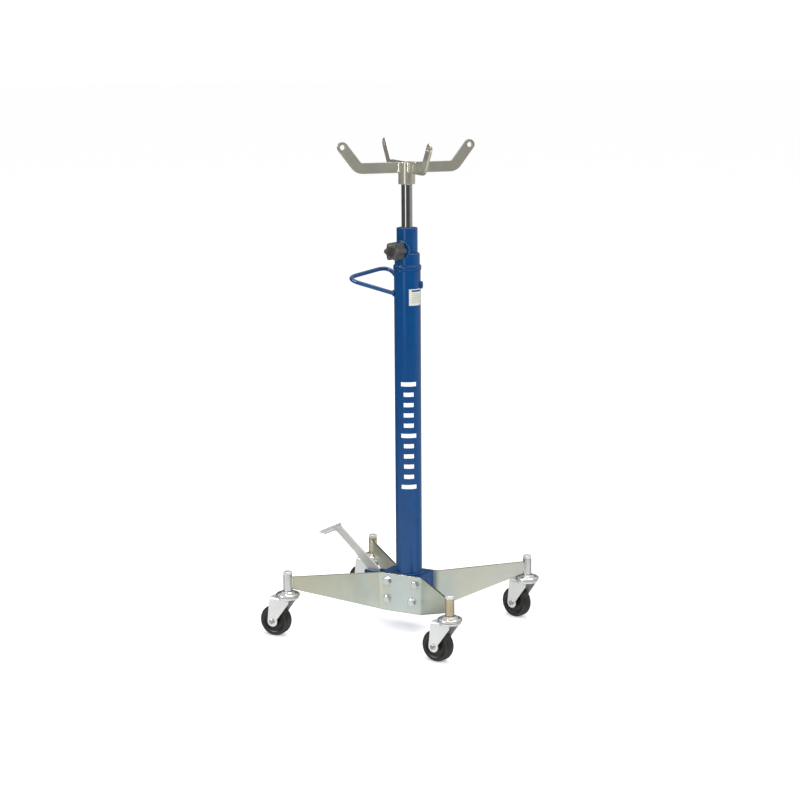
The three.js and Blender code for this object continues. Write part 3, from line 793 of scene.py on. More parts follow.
def bead(points, radius, sides=10, closed=False):
    """A weld bead along points, tapered at open ends."""
    length = sum((Vector(b) - Vector(a)).length for a, b in zip(points, points[1:]))
    ripples = max(3, round(length / RIPPLE))

    def swell(share):
        wave = 1 + 0.13 * abs(math.sin(math.pi * ripples * share))
        taper = 1 if closed else min(1, 0.25 + 9 * min(share, 1 - share))
        return radius * wave * taper

    return drawn(points, swell, sides, closed)


def line(start, end, steps):
    return [Vector(start).lerp(Vector(end), i / steps) for i in range(steps + 1)]


def circle(centre, radius, steps):
    """Points round a level circle."""
    angles = [math.tau * i / steps for i in range(steps)]
    return [Vector(centre) + Vector((radius * math.cos(a), radius * math.sin(a), 0)) for a in angles]


def boss_seam(steps=120):
    """Where the boss meets the round neck: on the boss's rim, as deep as the neck's surface."""
    points = []
    for spot in circle((0, 0, 0), BOSS_RADIUS + 0.0006, steps):
        depth = math.sqrt(max(neck_radius ** 2 - spot.x ** 2, 0)) + 0.0004
        points.append(TO_VALVE @ Vector((spot.x, spot.y, depth)))
    return points


def add_column_weld(name, points, radius):
    add_piece(name, bead(points, radius, closed=True), BLUE_ENAMEL, "frame", "blue_paint")


def add_column_welds():
    foot = AXIS + Vector((0, 0, high("pump_block").z + 0.001))
    add_column_weld("column_foot_weld", circle(foot, tube_radius + 0.0012, 240), 0.0026)
    shelf = AXIS + Vector((0, 0, high("reservoir_cap").z + 0.0002))
    add_column_weld("collar_weld", circle(shelf, collar_radius + 0.0002, 200), 0.0013)
    add_column_weld("boss_weld", boss_seam(), 0.0008)


add_column_welds()
print("column welds made")

# %% [markdown]
# ## Release knob
# The star knob has six lobes. A circle whose radius rises and falls six times round is lifted ring by
# ring, with rounded shoulders at both ends, and its front face is sunk into a shallow dish.

# %% Star knob
KNOB_LOBES = 6
KNOB_RADIUS = 0.0199
KNOB_LOBE = 0.0026
KNOB_NECK = 0.009
KNOB_HALF = 0.01985
KNOB_NECK_LENGTH = 0.0022
KNOB_DISH = 0.0094


def knob_ring(bm, height, shrink, lobe, sides=144):
    """One ring of the knob: its outline at a height, pulled in by shrink."""
    verts = bmesh.ops.create_circle(bm, segments=sides, radius=1)["verts"]
    for vert in verts:
        angle = math.atan2(vert.co.y, vert.co.x)
        radius = KNOB_RADIUS - shrink + lobe * math.cos(KNOB_LOBES * angle)
        vert.co = Vector((math.cos(angle) * radius, math.sin(angle) * radius, height))
    return list({edge for vert in verts for edge in vert.link_edges})


def add_knob():
    # the valve axis is level, so the knob's reach along it comes from its box
    centre = (low("release_knob") + high("release_knob")) / 2
    reach = (centre - AXIS).xy.dot(valve_axis.xy)
    start, front = reach - KNOB_HALF, reach + KNOB_HALF
    back = start + KNOB_NECK_LENGTH
    stations = [
        (back, KNOB_RADIUS - KNOB_NECK, 0),
        (back + 0.0003, 0.0028, KNOB_LOBE * 0.8),
        (back + 0.0012, 0.0009, KNOB_LOBE * 0.95),
        (back + 0.0030, 0, KNOB_LOBE),
        (front - 0.0052, 0, KNOB_LOBE),
        (front - 0.0026, 0.0007, KNOB_LOBE),
        (front - 0.0009, 0.0022, KNOB_LOBE * 0.95),
        (front, 0.0046, KNOB_LOBE * 0.8),
        (front, KNOB_DISH - 0.0008, 0.0002),
        (front - 0.0004, KNOB_DISH, 0),
        (front - 0.0014, KNOB_DISH + 0.0006, 0),
    ]
    bm = bmesh.new()
    rings = [knob_ring(bm, *station) for station in stations]
    for near, far in zip(rings, rings[1:]):
        bmesh.ops.bridge_loops(bm, edges=near + far)
    bmesh.ops.edgeloop_fill(bm, edges=rings[-1])
    bmesh.ops.edgeloop_fill(bm, edges=rings[0])
    clean(bm)
    neck = turned([(0, start), (KNOB_NECK, start), (KNOB_NECK, back + 0.001), (0, back + 0.001)])
    bm = placed(merged(bm, neck), TO_VALVE)
    return add_piece("release_knob_fine", bm, KNOB_PLASTIC, "release_valve", "knob_black", "release_knob")


add_knob()
print("knob lobes", KNOB_LOBES)

# %% [markdown]
# ## Push handle
# One round bar is bent twice and welded to the column at both ends. Its line is two legs, two round
# corners and a crossbar, and a section is drawn along it. A ring of weld joins each end to the tube.

# %% Push handle
HANDLE_TURN = 166.5
HANDLE_RADIUS = 0.005
HANDLE_REACH = 0.133
HANDLE_HALF = 0.077
HANDLE_CORNER = 0.041
HANDLE_HEIGHT = 0.862
HANDLE_LEAN = 0.008
HANDLE_ROOT = Vector((0.020, 0.022, 0.822))
TO_HANDLE = TO_AXIS @ about_z(HANDLE_TURN)


def handle_line():
    """The bar's middle line in the handle's own frame, with X pointing away from the column."""

    def root(side):
        return Vector((HANDLE_ROOT.x, side * HANDLE_ROOT.y, HANDLE_ROOT.z))

    def corner(side):
        return Vector((HANDLE_REACH, side * HANDLE_HALF, HANDLE_HEIGHT - side * HANDLE_LEAN))

    def bend(before, at, after, steps=16):
        start = at + (before - at).normalized() * HANDLE_CORNER
        end = at + (after - at).normalized() * HANDLE_CORNER
        shares = [i / steps for i in range(steps + 1)]
        return [start * (1 - t) ** 2 + at * 2 * t * (1 - t) + end * t ** 2 for t in shares]

    points = [root(-1)]
    points += bend(root(-1), corner(-1), corner(1))
    points += bend(corner(-1), corner(1), root(1))
    return points + [root(1)]


def add_handle():
    points = handle_line()
    bm = placed(drawn(points, HANDLE_RADIUS, 24), TO_HANDLE)
    add_piece("push_handle_fine", bm, BLUE_ENAMEL, "frame", "blue_paint", "push_handle")
    for name, end, inner in (("near", points[-1], points[-2]), ("far", points[0], points[1])):
        along = (inner - end).normalized()
        # the bar leaves the tube where its middle line passes the tube's radius
        reaches = [end + along * t * MM for t in range(60)]
        seat = next(spot for spot in reaches if spot.xy.length > tube_radius + 0.0008)
        turn = facing(seat.xy.normalized().to_3d())
        loop = [seat + turn.to_3x3() @ p for p in circle((0, 0, 0), HANDLE_RADIUS + 0.0008, 40)]
        weld = placed(bead(loop, 0.0021, closed=True), TO_HANDLE)
        add_piece("push_handle_weld_" + name, weld, BLUE_ENAMEL, "frame", "blue_paint")


add_handle()
print("handle points", len(handle_line()))

# %% [markdown]
# ## Fasteners
# A hexagon head is round on top, because its corners are turned off at 30 degrees. The sides follow
# the hexagon's own formula, and where each side meets the turned cone gives the curved chamfer.

# %% Hexagon heads and washers
def hexagon_radius(flats, angle):
    """Distance from the middle to the side of a hexagon at an angle."""
    return flats / 2 / math.cos((angle + math.pi / 6) % (math.pi / 3) - math.pi / 6)


CROWN_SHARE = 0.94
CROWN_ROUND = 0.0002


def hexagon(flats, height, sides=72):
    """A hexagon head on z = 0, its top corners turned off."""
    bm = bmesh.new()
    crown = flats / 2 * CROWN_SHARE

    def ring(rule):
        verts = bmesh.ops.create_circle(bm, segments=sides, radius=1)["verts"]
        for vert in verts:
            angle = math.atan2(vert.co.y, vert.co.x)
            radius, level = rule(hexagon_radius(flats, angle))
            vert.co = Vector((radius * math.cos(angle), radius * math.sin(angle), level))
        return list({edge for vert in verts for edge in vert.link_edges})

    rings = [
        ring(lambda side: (side, 0)),
        ring(lambda side: (side, height - CROWN_ROUND - (side - crown) * math.tan(math.pi / 6))),
        ring(lambda side: (crown, height - CROWN_ROUND)),
        ring(lambda side: (crown - 0.0003, height)),
    ]
    for near, far in zip(rings, rings[1:]):
        bmesh.ops.bridge_loops(bm, edges=near + far)
    for end in (rings[0], rings[-1]):
        bmesh.ops.edgeloop_fill(bm, edges=end)
    return clean(bm)


def washer(inner, outer, thickness):
    return soften(turned(ring_profile(inner, outer, 0, thickness), 64), thickness * 0.25, 2)


def rod(radius, start, end, edge=0.0):
    bm = turned([(0, start), (radius, start), (radius, end), (0, end)], 64)
    return soften(bm, edge) if edge else bm


LEG_BOLT_FLATS = 0.017
LEG_BOLT_HEAD = 0.007
LEG_BOLT_RADIUS = 0.005
LEG_BOLT_LENGTH = 0.026
LEG_BOLT_TURN = 17
WASHER_FACE = 0.0005
PLUG_FLATS = 0.0155
PLUG_HEAD = 0.0042
PLUG_WASHER = 0.0013
PLUG_RADIUS = 0.005


def add_leg_bolts():
    for side, outward in (("front", -1), ("rear", 1)):
        for number in (1, 2, 3, 4):
            node = f"{side}_leg_bolt_{number}"
            middle = (low(node) + high(node)) / 2
            tip = low(node).y if outward < 0 else high(node).y
            seat = Vector((middle.x, tip - outward * LEG_BOLT_HEAD, middle.z))
            move = Matrix.Translation(seat) @ facing((0, outward, 0)) @ about_z(LEG_BOLT_TURN * number)
            lift = Matrix.Translation((0, 0, WASHER_FACE))
            parts = [
                placed(hexagon(LEG_BOLT_FLATS, LEG_BOLT_HEAD - WASHER_FACE), lift),
                rod(LEG_BOLT_FLATS * 0.48, 0, WASHER_FACE + 0.0002),
                rod(LEG_BOLT_RADIUS, -LEG_BOLT_LENGTH, 0.001, 0.0005),
            ]
            bolt = placed(merged(*parts), move)
            add_piece(node + "_fine", bolt, POLISHED_ZINC, "frame", "bright_zinc", node)


def add_filler_plug():
    middle = (low("filler_plug") + high("filler_plug")) / 2
    way = Vector((middle.x - AXIS.x, middle.y - AXIS.y, 0)).normalized()
    move = Matrix.Translation(AXIS + Vector((0, 0, middle.z)) + way * tube_radius) @ facing(way)
    parts = [
        placed(hexagon(PLUG_FLATS, PLUG_HEAD), Matrix.Translation((0, 0, PLUG_WASHER - 0.0002))),
        washer(PLUG_RADIUS, 0.0095, PLUG_WASHER),
        rod(PLUG_RADIUS, -0.006, 0.001),
    ]
    plug = placed(merged(*parts), move)
    add_piece("filler_plug_fine", plug, BLUE_ENAMEL, "frame", "blue_paint", "filler_plug")


add_leg_bolts()
add_filler_plug()
print("hexagon heads made")

# %% [markdown]
# ## Ram and saddle
# The ram is ground and hard chromed, so its finish is nearly a mirror. It is waisted at its foot, where
# the guide sits, and has a spigot at its top, on which the turned saddle hub swivels.

# %% Ram rod and hub
SPIGOT_RADIUS = 0.010
GUIDE_SEAT_RADIUS = 0.009


def add_ram():
    bottom, top = low("ram_rod").z, high("ram_rod").z
    neck = high("ram_guide").z + FIT
    shoulder = low("saddle_hub").z - FIT
    profile = [
        (0, bottom),
        (GUIDE_SEAT_RADIUS, bottom),
        (GUIDE_SEAT_RADIUS, neck),
        (rod_radius, neck),
        (rod_radius, shoulder - 0.0012),
        (rod_radius - 0.0012, shoulder),
        (SPIGOT_RADIUS, shoulder),
        (SPIGOT_RADIUS, top),
        (0, top),
    ]
    add_piece("ram_rod_fine", placed(turned(profile, 128), TO_AXIS), CHROME, "ram", "chrome", "ram_rod")


def add_hub():
    bottom, top = low("saddle_hub").z, high("saddle_hub").z
    radius = (high("saddle_hub").x - low("saddle_hub").x) / 2
    bore = SPIGOT_RADIUS + FIT
    roof = high("ram_rod").z + 0.001
    profile = [(bore, bottom), (radius, bottom), (radius, top), (0, top), (0, roof), (bore, roof)]
    add_piece("saddle_hub_fine", placed(soften(turned(profile), 0.0012), TO_AXIS),
              SADDLE_ZINC, "saddle", "saddle_steel", "saddle_hub")
    return radius


add_ram()
hub_radius = add_hub()
print("ram radius", round(rod_radius, 4), "hub radius", round(hub_radius, 4))

# %% [markdown]
# Each saddle arm is flame cut from 6 mm plate, stands on edge, turns up at 52 degrees and ends in a
# round eye. The outline is filled with its hole, given thickness and softened. The record tells where
# the four eyes are.

# %% Saddle arms
ARM_SHEET = 0.006
ARM_HEIGHT = 0.0254
ARM_TILT = 52
ARM_BEND = 0.034
ARM_CROOK = 0.007
EYE_RADIUS = 0.006
openings = {row["name"]: row["box_m"] for row in frame["record"]["physics"]["openings"]}


def arm_outline(eye_out, eye_height, top):
    """The arm seen from its side, as (distance from the axis, height)."""
    half = ARM_HEIGHT / 2
    tilt = math.radians(ARM_TILT)
    corner = eye_out - (eye_height - (top - half)) / math.tan(tilt)
    inset = half * math.tan(tilt / 2)
    start = hub_radius - 0.0008
    low_end = arc((eye_out, eye_height), half, ARM_TILT - 90, ARM_TILT + 90, 28)
    under = top - ARM_HEIGHT
    elbow = rounded([(start, under, 0), (corner + inset, under, ARM_BEND), (*low_end[0], 0)], 10)
    inner = rounded([(*low_end[-1], 0), (corner - inset, top, ARM_CROOK), (start, top, 0)], 5)
    return elbow[:-1] + low_end + inner[1:]


def add_arms():
    for name in ARMS:
        box = [Vector(corner) for corner in openings[f"arm_eye_{name}_hole"]]
        eye = (box[0] + box[1]) / 2 - AXIS
        top = high("saddle_hub").z
        outline = arm_outline(eye.xy.length, eye.z, top)
        hole = arc((eye.xy.length, eye.z), EYE_RADIUS, 0, 360, 36)[:-1]
        bm = soften(plate(outline, ARM_SHEET, [hole]), 0.0007, 2)
        turn = TO_AXIS @ about_z(math.degrees(math.atan2(eye.y, eye.x)))
        stand = Matrix.Rotation(math.radians(90), 4, "X")
        node = "saddle_arm_" + name
        add_piece(node + "_fine", placed(bm, turn, stand), SADDLE_ZINC, "saddle", "saddle_steel", node)
        for side in (-1, 1):
            beside = side * (ARM_SHEET / 2 + 0.0006)
            foot = Vector((hub_radius + 0.0008, beside, top - ARM_HEIGHT + 0.0015))
            seam = bead(line(foot, foot + Vector((0, 0, ARM_HEIGHT - 0.003)), 40), 0.0024)
            label = f"{node}_weld_{'a' if side < 0 else 'b'}"
            add_piece(label, placed(seam, turn), WELD_METAL, "saddle", "saddle_steel")


add_arms()
print("arms", ARMS)

# %% [markdown]
# ## Leg plates
# Each leg is one sheet with two folds. The easiest way to a true folded sheet is to bend a thin one: a
# grid is laid along the fold's plan with arcs at the bends, its two long edges run to the taper, and
# it is then thickened and softened. The sheared edges get a darker finish than the faces.

# %% Leg plates
SHEET = 0.0045
FOLD = math.radians(44.7)
FOLD_FROM = 0.052
FOLD_RADIUS = 0.01425
PLATE_TIP_TOP = 0.147
PLATE_TIP_BOTTOM = 0.119
PLATE_LEVEL_HALF = 0.056
PLATE_ROUND = 0.0012
POST_BITE = 0.0085


def corner_place(name):
    """Where a caster's upright axis stands, on the floor."""
    box_low, box_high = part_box(name + "_caster_post")
    return Vector(((box_low.x + box_high.x) / 2, (box_low.y + box_high.y) / 2, 0))


def folded(along):
    """Plan of the sheet's middle: distance along it to (x, y), folding towards -y."""
    side = math.copysign(1, along)
    rest = abs(along) - FOLD_FROM
    bend = FOLD_RADIUS * FOLD
    if rest <= 0:
        return along, 0.0
    if rest <= bend:
        angle = rest / FOLD_RADIUS
        return side * (FOLD_FROM + FOLD_RADIUS * math.sin(angle)), -FOLD_RADIUS * (1 - math.cos(angle))
    past = rest - bend
    x = FOLD_FROM + FOLD_RADIUS * math.sin(FOLD) + past * math.cos(FOLD)
    return side * x, -FOLD_RADIUS * (1 - math.cos(FOLD)) - past * math.sin(FOLD)


def add_leg_plate(side, outward):
    node = side + "_leg_plate"
    post = corner_place(side + "_right") - AXIS
    top, bottom = high("pump_block").z + 0.002, low(node).z
    wing = (post.x - FOLD_FROM - FOLD_RADIUS * math.sin(FOLD)) / math.cos(FOLD) - POST_BITE
    half = FOLD_FROM + FOLD_RADIUS * FOLD + wing
    bm = bmesh.new()
    bmesh.ops.create_grid(bm, x_segments=150, y_segments=1, size=1)
    block_face = (high("pump_block").y - low("pump_block").y) / 2 + FIT
    for vert in bm.verts:
        upper = vert.co.y > 0
        x, y = folded(vert.co.x * half)
        share = max(0, (abs(x) - PLATE_LEVEL_HALF) / (post.x - PLATE_LEVEL_HALF))
        middle, tip = (top, PLATE_TIP_TOP) if upper else (bottom, PLATE_TIP_BOTTOM)
        level = middle + (tip - middle) * share
        vert.co = Vector((x, outward * (block_face + SHEET / 2 - y), level))
    bm.normal_update()
    for vert in bm.verts:
        vert.co += vert.normal * SHEET / 2
    bmesh.ops.solidify(bm, geom=bm.faces[:], thickness=SHEET)
    clean(bm)
    soften(bm, PLATE_ROUND, 3, 40)
    piece = add_piece(node + "_fine", placed(bm, TO_AXIS), ZINC_PLATE, "frame", "zinc_plate", node)
    # the second slot is for the sheared edges, which face up and down
    piece.data.materials.append(CUT_EDGE)
    for face in piece.data.polygons:
        face.material_index = int(abs(face.normal.z) > 0.2)
    return piece


def add_tip_welds(name):
    """Two short beads down the post, one on each face of the sheet."""
    place = corner_place(name)
    post_low, post_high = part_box(name + "_caster_post")
    radius = (post_high.y - post_low.y) / 2
    away = place - AXIS
    inward = Vector((-math.copysign(1, away.x), -math.copysign(1, away.y), 0)).normalized()
    for label, spread in (("a", 24), ("b", -24)):
        foot = place + about_z(spread) @ inward * (radius + 0.0006)
        start = foot + Vector((0, 0, PLATE_TIP_BOTTOM + 0.002))
        end = foot + Vector((0, 0, PLATE_TIP_TOP - 0.002))
        weld = bead(line(start, end, 48), 0.0021)
        add_piece(f"{name}_post_weld_{label}", weld, WELD_METAL, "frame", "zinc_plate")


for side, outward in (("front", -1), ("rear", 1)):
    add_leg_plate(side, outward)
for name in CORNERS:
    add_tip_welds(name)
print("leg plates made")

# %% [markdown]
# ## Casters
# From the top down a caster is a hexagon-headed stem through a welded post, a pressed cup that holds
# the upper balls, a fork folded from sheet, an axle bolt and a moulded wheel. The cup is a turned
# shell with a rolled rim, and the balls between cup and fork are small spheres.

# %% Posts, stems and cups
POST_SHELL = 0.004
STEM_FLATS = 0.019
STEM_RADIUS = 0.005
STEM_FOOT_RADIUS = 0.009
STEM_WASHER = 0.0014
CUP_SHEET = 0.0018
STEM_HOLE = 0.0053
BALL_RADIUS = 0.0022
BALL_CIRCLE = 0.0235
BALL_COUNT = 22


def add_post(name):
    node = name + "_caster_post"
    post_finish = YELLOW_ZINC if name in ("front_right", "rear_left") else POLISHED_ZINC
    radius = (high(node).y - low(node).y) / 2
    profile = ring_profile(radius - POST_SHELL, radius, low(node).z, high(node).z)
    bm = placed(soften(turned(profile, 64), 0.0007), Matrix.Translation(corner_place(name)))
    add_piece(node + "_fine", bm, post_finish, "frame", "yellow_zinc", node)


def add_stem(name):
    node = name + "_caster_stem"
    bottom, top = low(node).z, high(node).z
    seat = high(name + "_caster_post").z + FIT
    under_head = seat + STEM_WASHER
    parts = [
        placed(hexagon(STEM_FLATS, top - seat - STEM_WASHER), Matrix.Translation((0, 0, under_head))),
        placed(washer(STEM_RADIUS, 0.0100, STEM_WASHER), Matrix.Translation((0, 0, seat))),
        rod(STEM_RADIUS, bottom, seat + 0.002, 0.0004),
        rod(STEM_FOOT_RADIUS, bottom, bottom + 0.0047, 0.0012),
    ]
    move = Matrix.Translation(corner_place(name)) @ about_z(15)
    add_piece(node + "_fine", placed(merged(*parts), move), BRIGHT_ZINC, "frame", "bright_zinc", node)


def add_cup(name):
    node = name + "_caster_raceway"
    bottom, top = low(node).z, high(node).z
    radius = (high(node).y - low(node).y) / 2
    outer = [
        (STEM_HOLE, top),
        (0.0150, top),
        (0.0185, top - 0.0036),
        (radius - 0.0032, top - 0.0048),
        (radius, top - 0.0074),
        (radius, bottom),
    ]
    # the wall is as thick inwards as downwards, except at the hole and at the open rim
    inner = []
    for r, z in reversed(outer):
        inner.append((r - (CUP_SHEET if r > 0.016 else 0), z - (CUP_SHEET if z > bottom else 0)))
    bm = turned(inner + outer)
    soften(bm, 0.0009, 3, 20)
    bm = placed(bm, Matrix.Translation(corner_place(name)))
    add_piece(node + "_fine", bm, POLISHED_ZINC, "frame", "bright_zinc", node)


def add_balls(name):
    """The lower ball row, between the cup's rim and the fork's crown."""
    level = low(name + "_caster_raceway").z + 0.0012
    bm = bmesh.new()
    for spot in circle((0, 0, level), BALL_CIRCLE, BALL_COUNT):
        place = Matrix.Translation(spot)
        bmesh.ops.create_icosphere(bm, subdivisions=2, radius=BALL_RADIUS, matrix=place)
    placed(bm, Matrix.Translation(corner_place(name)))
    add_piece(name + "_caster_balls", bm, CHROME, name + "_swivel", "chrome")


for name in CORNERS:
    add_post(name)
    add_stem(name)
    add_cup(name)
    add_balls(name)
print("caster places", [tuple(round(v, 3) for v in corner_place(n).xy) for n in CORNERS])

# %% [markdown]
# The fork is pressed from one blank: a round crown that runs the balls, and two legs folded down.
# The legs are outlined in the plane of the trail, the crown is a turned disc, and a short rolled
# strip joins them where the sheet goes round its bend.

# %% Forks
FORK_INNER = 0.0176
FORK_SHEET = 0.0028
FORK_TIP = 0.013
TRAIL_PAST = 0.0075
FORK_HEEL = -0.011
HEEL_LOW = 0.086
CROWN_RADIUS = 0.026
CROWN_SHEET = 0.003
BALL_TRACK = 0.003
FORK_BEND = 0.0045
AXLE_HOLE = 0.0043


def trail_of(name):
    """The wheel's way from the swivel axis: its length and a turn that takes X along it."""
    wheel_low, wheel_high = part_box(name + "_caster_wheel")
    away = (wheel_low + wheel_high) / 2 - corner_place(name)
    turn = about_z(math.degrees(math.atan2(away.y, away.x)))
    return away.xy.length, Matrix.Translation(corner_place(name)) @ turn


def fork_leg(trail, wheel_radius, top):
    """Outline of one leg, x along the trail and y up."""
    tip = arc((trail, wheel_radius), FORK_TIP, 158, 366, 28)
    heel = rounded([(FORK_HEEL, top, 0), (FORK_HEEL, HEEL_LOW, 0.006), (*tip[0], 0)])
    return heel[:-1] + tip + [(trail + TRAIL_PAST, top)]


def add_fork(name):
    node = name + "_caster_fork"
    trail, turn = trail_of(name)
    wheel_radius = (high(name + "_caster_wheel").z - low(name + "_caster_wheel").z) / 2
    crown_top = high(node).z - BALL_TRACK
    crown_bottom = crown_top - CROWN_SHEET
    front = trail + TRAIL_PAST
    stand = Matrix.Rotation(math.radians(90), 4, "X")
    parts = []
    for side in (-1, 1):
        hole = arc((trail, wheel_radius), AXLE_HOLE, 0, 360, 24)[:-1]
        leg = plate(fork_leg(trail, wheel_radius, crown_top - FORK_BEND), FORK_SHEET, [hole])
        soften(leg, 0.0005, 2)
        out = Matrix.Translation((0, side * (FORK_INNER + FORK_SHEET / 2), 0))
        parts.append(placed(leg, out, stand))
        # the folded strip: a quarter ring drawn in section and pulled along the leg's top
        centre = (side * (FORK_INNER + FORK_SHEET - FORK_BEND), crown_top - FORK_BEND)
        angles = (0, 90) if side > 0 else (180, 90)
        outer = arc(centre, FORK_BEND, *angles, 6)
        inner = arc(centre, FORK_BEND - FORK_SHEET, *angles, 6)
        strip = plate([*outer, *reversed(inner)], front - FORK_HEEL)
        run = Matrix(((0, 0, 1, 0), (1, 0, 0, 0), (0, 1, 0, 0), (0, 0, 0, 1)))
        parts.append(placed(strip, Matrix.Translation(((front + FORK_HEEL) / 2, 0, 0)), run))
    width = FORK_INNER + FORK_SHEET - FORK_BEND
    deck = plate([(0, -width), (front, -width), (front, width), (0, width)], FORK_SHEET)
    parts.append(placed(deck, Matrix.Translation((0, 0, crown_top - FORK_SHEET / 2))))
    crown = turned([
        (STEM_HOLE, crown_bottom),
        (CROWN_RADIUS, crown_bottom),
        (CROWN_RADIUS, crown_top + 0.0022),
        (CROWN_RADIUS - 0.0030, crown_top + 0.0022),
        (CROWN_RADIUS - 0.0052, crown_top + 0.0002),
        (STEM_HOLE, crown_top + 0.0002),
    ])
    parts.append(soften(crown, 0.0007, 3, 20))
    bm = placed(merged(*parts), turn)
    add_piece(node + "_fine", bm, BRIGHT_ZINC, name + "_swivel", "bright_zinc", node)


for name in CORNERS:
    add_fork(name)
print("fork trail", round(trail_of("front_left")[0], 4))

# %% [markdown]
# The wheel is moulded in one, with a crowned tread, rounded shoulders, a dished side with a raised
# ring, and a hub that stands out to the fork. Half of its outline is written down and then mirrored.

# %% Wheels and axles
TREAD_HALF = 0.014
HUB_HALF = 0.0165
WHEEL_BORE = 0.0047
SHOULDER = 0.0062
AXLE_FLATS = 0.011
AXLE_HEAD = 0.0040
AXLE_RADIUS = 0.004


def wheel_profile(radius):
    """Closed outline of the wheel's section, as (radius, distance along the axle)."""
    side = [
        (WHEEL_BORE, HUB_HALF),
        (0.0105, HUB_HALF),
        (0.0120, HUB_HALF - 0.0012),
        (0.0130, TREAD_HALF - 0.0052),
        (0.0240, TREAD_HALF - 0.0048),
        (0.0268, TREAD_HALF - 0.0012),
        (0.0290, TREAD_HALF - 0.0004),
    ]
    shoulder = arc((radius - SHOULDER, TREAD_HALF - SHOULDER - 0.0002), SHOULDER, 84, 14, 8)
    tread = [(radius - 0.0001, TREAD_HALF * 0.45), (radius, 0.0008)]
    half = side + shoulder + tread
    return half[::-1] + [(r, -along) for r, along in half]


def add_wheel(name):
    node = name + "_caster_wheel"
    trail, turn = trail_of(name)
    radius = (high(node).z - low(node).z) / 2
    bm = turned(wheel_profile(radius), 96)
    lay = Matrix.Rotation(math.radians(90), 4, "X")
    bm = placed(bm, turn, Matrix.Translation((trail, 0, radius)), lay)
    add_piece(node + "_fine", bm, WHEEL_RUBBER, name + "_wheel", "wheel_black", node)


def add_axle(name):
    node = name + "_caster_axle"
    trail, turn = trail_of(name)
    level = (high(node).z + low(node).z) / 2
    face = FORK_INNER + FORK_SHEET + 0.0002
    out = Matrix.Translation((0, 0, face))
    head = placed(hexagon(AXLE_FLATS, AXLE_HEAD), facing((0, -1, 0)), out)
    nut = placed(hexagon(AXLE_FLATS, AXLE_HEAD), facing((0, 1, 0)), out)
    shank = placed(rod(AXLE_RADIUS, -face - 0.0042, face + 0.001, 0.0003), facing((0, -1, 0)))
    bm = placed(merged(head, nut, shank), turn, Matrix.Translation((trail, 0, level)))
    add_piece(node + "_fine", bm, PLAIN_STEEL, name + "_swivel", "steel", node)


for name in CORNERS:
    add_wheel(name)
    add_axle(name)
print("wheel radius", (high("front_left_caster_wheel").z - low("front_left_caster_wheel").z) / 2)

# %% [markdown]
# ## Pump
# The block is machined all over and then painted, so its real shape with every bore comes straight
# from the design. A copy of its mesh is merged, its flat faces are made whole again, and its edges
# are broken by a millimetre, as a deburring file would leave them.

# %% Pump block
def design_copy(node):
    """The node's own shape, with its loose triangles merged and its flat faces made whole."""
    bm = bmesh.new()
    bm.from_mesh(frame["nodes"][node].data)
    bmesh.ops.remove_doubles(bm, verts=bm.verts, dist=1e-6)
    bmesh.ops.dissolve_limit(bm, angle_limit=math.radians(1), verts=bm.verts, edges=bm.edges)
    return bm


block = soften(design_copy("pump_block"), 0.0009, 2, 60)
add_piece("pump_block_fine", block, BLUE_ENAMEL, "frame", "blue_paint", "pump_block")
print("block size", [round(v, 3) for v in high("pump_block") - low("pump_block")])

# %% [markdown]
# The plunger is ground steel with a round head that the pedal pushes. A coil spring brings it back.
# The coil is drawn along a helix, with a closed turn at each end.

# %% Plunger, spring and pivot pin
PLUNGER_RADIUS = 0.008
PLUNGER_HEAD = 0.004
SPRING_WIRE = 0.0011
SPRING_RADIUS = 0.0100
SPRING_TURNS = 5.5
PIN_RADIUS = 0.005
PIN_HEAD = 0.003
CLIP_WIRE = 0.0009


def add_plunger():
    box_low, box_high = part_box("pump_plunger")
    head_radius = (box_high.z - box_low.z) / 2
    length = box_high.x - box_low.x
    profile = [
        (0, 0),
        (head_radius, 0),
        (head_radius, PLUNGER_HEAD),
        (PLUNGER_RADIUS, PLUNGER_HEAD),
        (PLUNGER_RADIUS, length),
        (0, length),
    ]
    start = Vector((box_low.x, AXIS.y, (box_low.z + box_high.z) / 2))
    bm = placed(soften(turned(profile, 64), 0.0007), Matrix.Translation(start) @ facing((1, 0, 0)))
    add_piece("pump_plunger_fine", bm, PLAIN_STEEL, "plunger", "chrome", "pump_plunger")
    return start


def spring_line(start, end, steps):
    """A helix along X, closed up for its first and last turn."""
    closed = 1 / SPRING_TURNS
    climb = SPRING_WIRE * 1.9
    points = []
    for i in range(steps + 1):
        share = i / steps
        turn = share * SPRING_TURNS
        ease = min(max((share - closed * 0.8) / (1 - closed * 1.6), 0), 1)
        ends = climb * (min(turn, 1) - 0.5 + max(turn - SPRING_TURNS + 1, 0) - 0.5)
        x = start.x + climb + (end.x - start.x - 2 * climb) * ease + ends
        angle = math.tau * turn
        y = start.y + SPRING_RADIUS * math.cos(angle)
        points.append(Vector((x, y, start.z + SPRING_RADIUS * math.sin(angle))))
    return points


def add_spring():
    box_low, box_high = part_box("pump_return_spring")
    level = (box_low.z + box_high.z) / 2
    start = Vector((box_low.x + SPRING_WIRE, AXIS.y, level))
    end = Vector((box_high.x - SPRING_WIRE, AXIS.y, level))
    bm = drawn(spring_line(start, end, 160), SPRING_WIRE, 12)
    piece = add_piece("pump_return_spring_fine", bm, PLAIN_STEEL, "frame", "steel", "pump_return_spring")
    seat = end.x + SPRING_WIRE + FIT
    free = seat - (low("pump_plunger").x + PLUNGER_HEAD)
    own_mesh(piece)
    return free


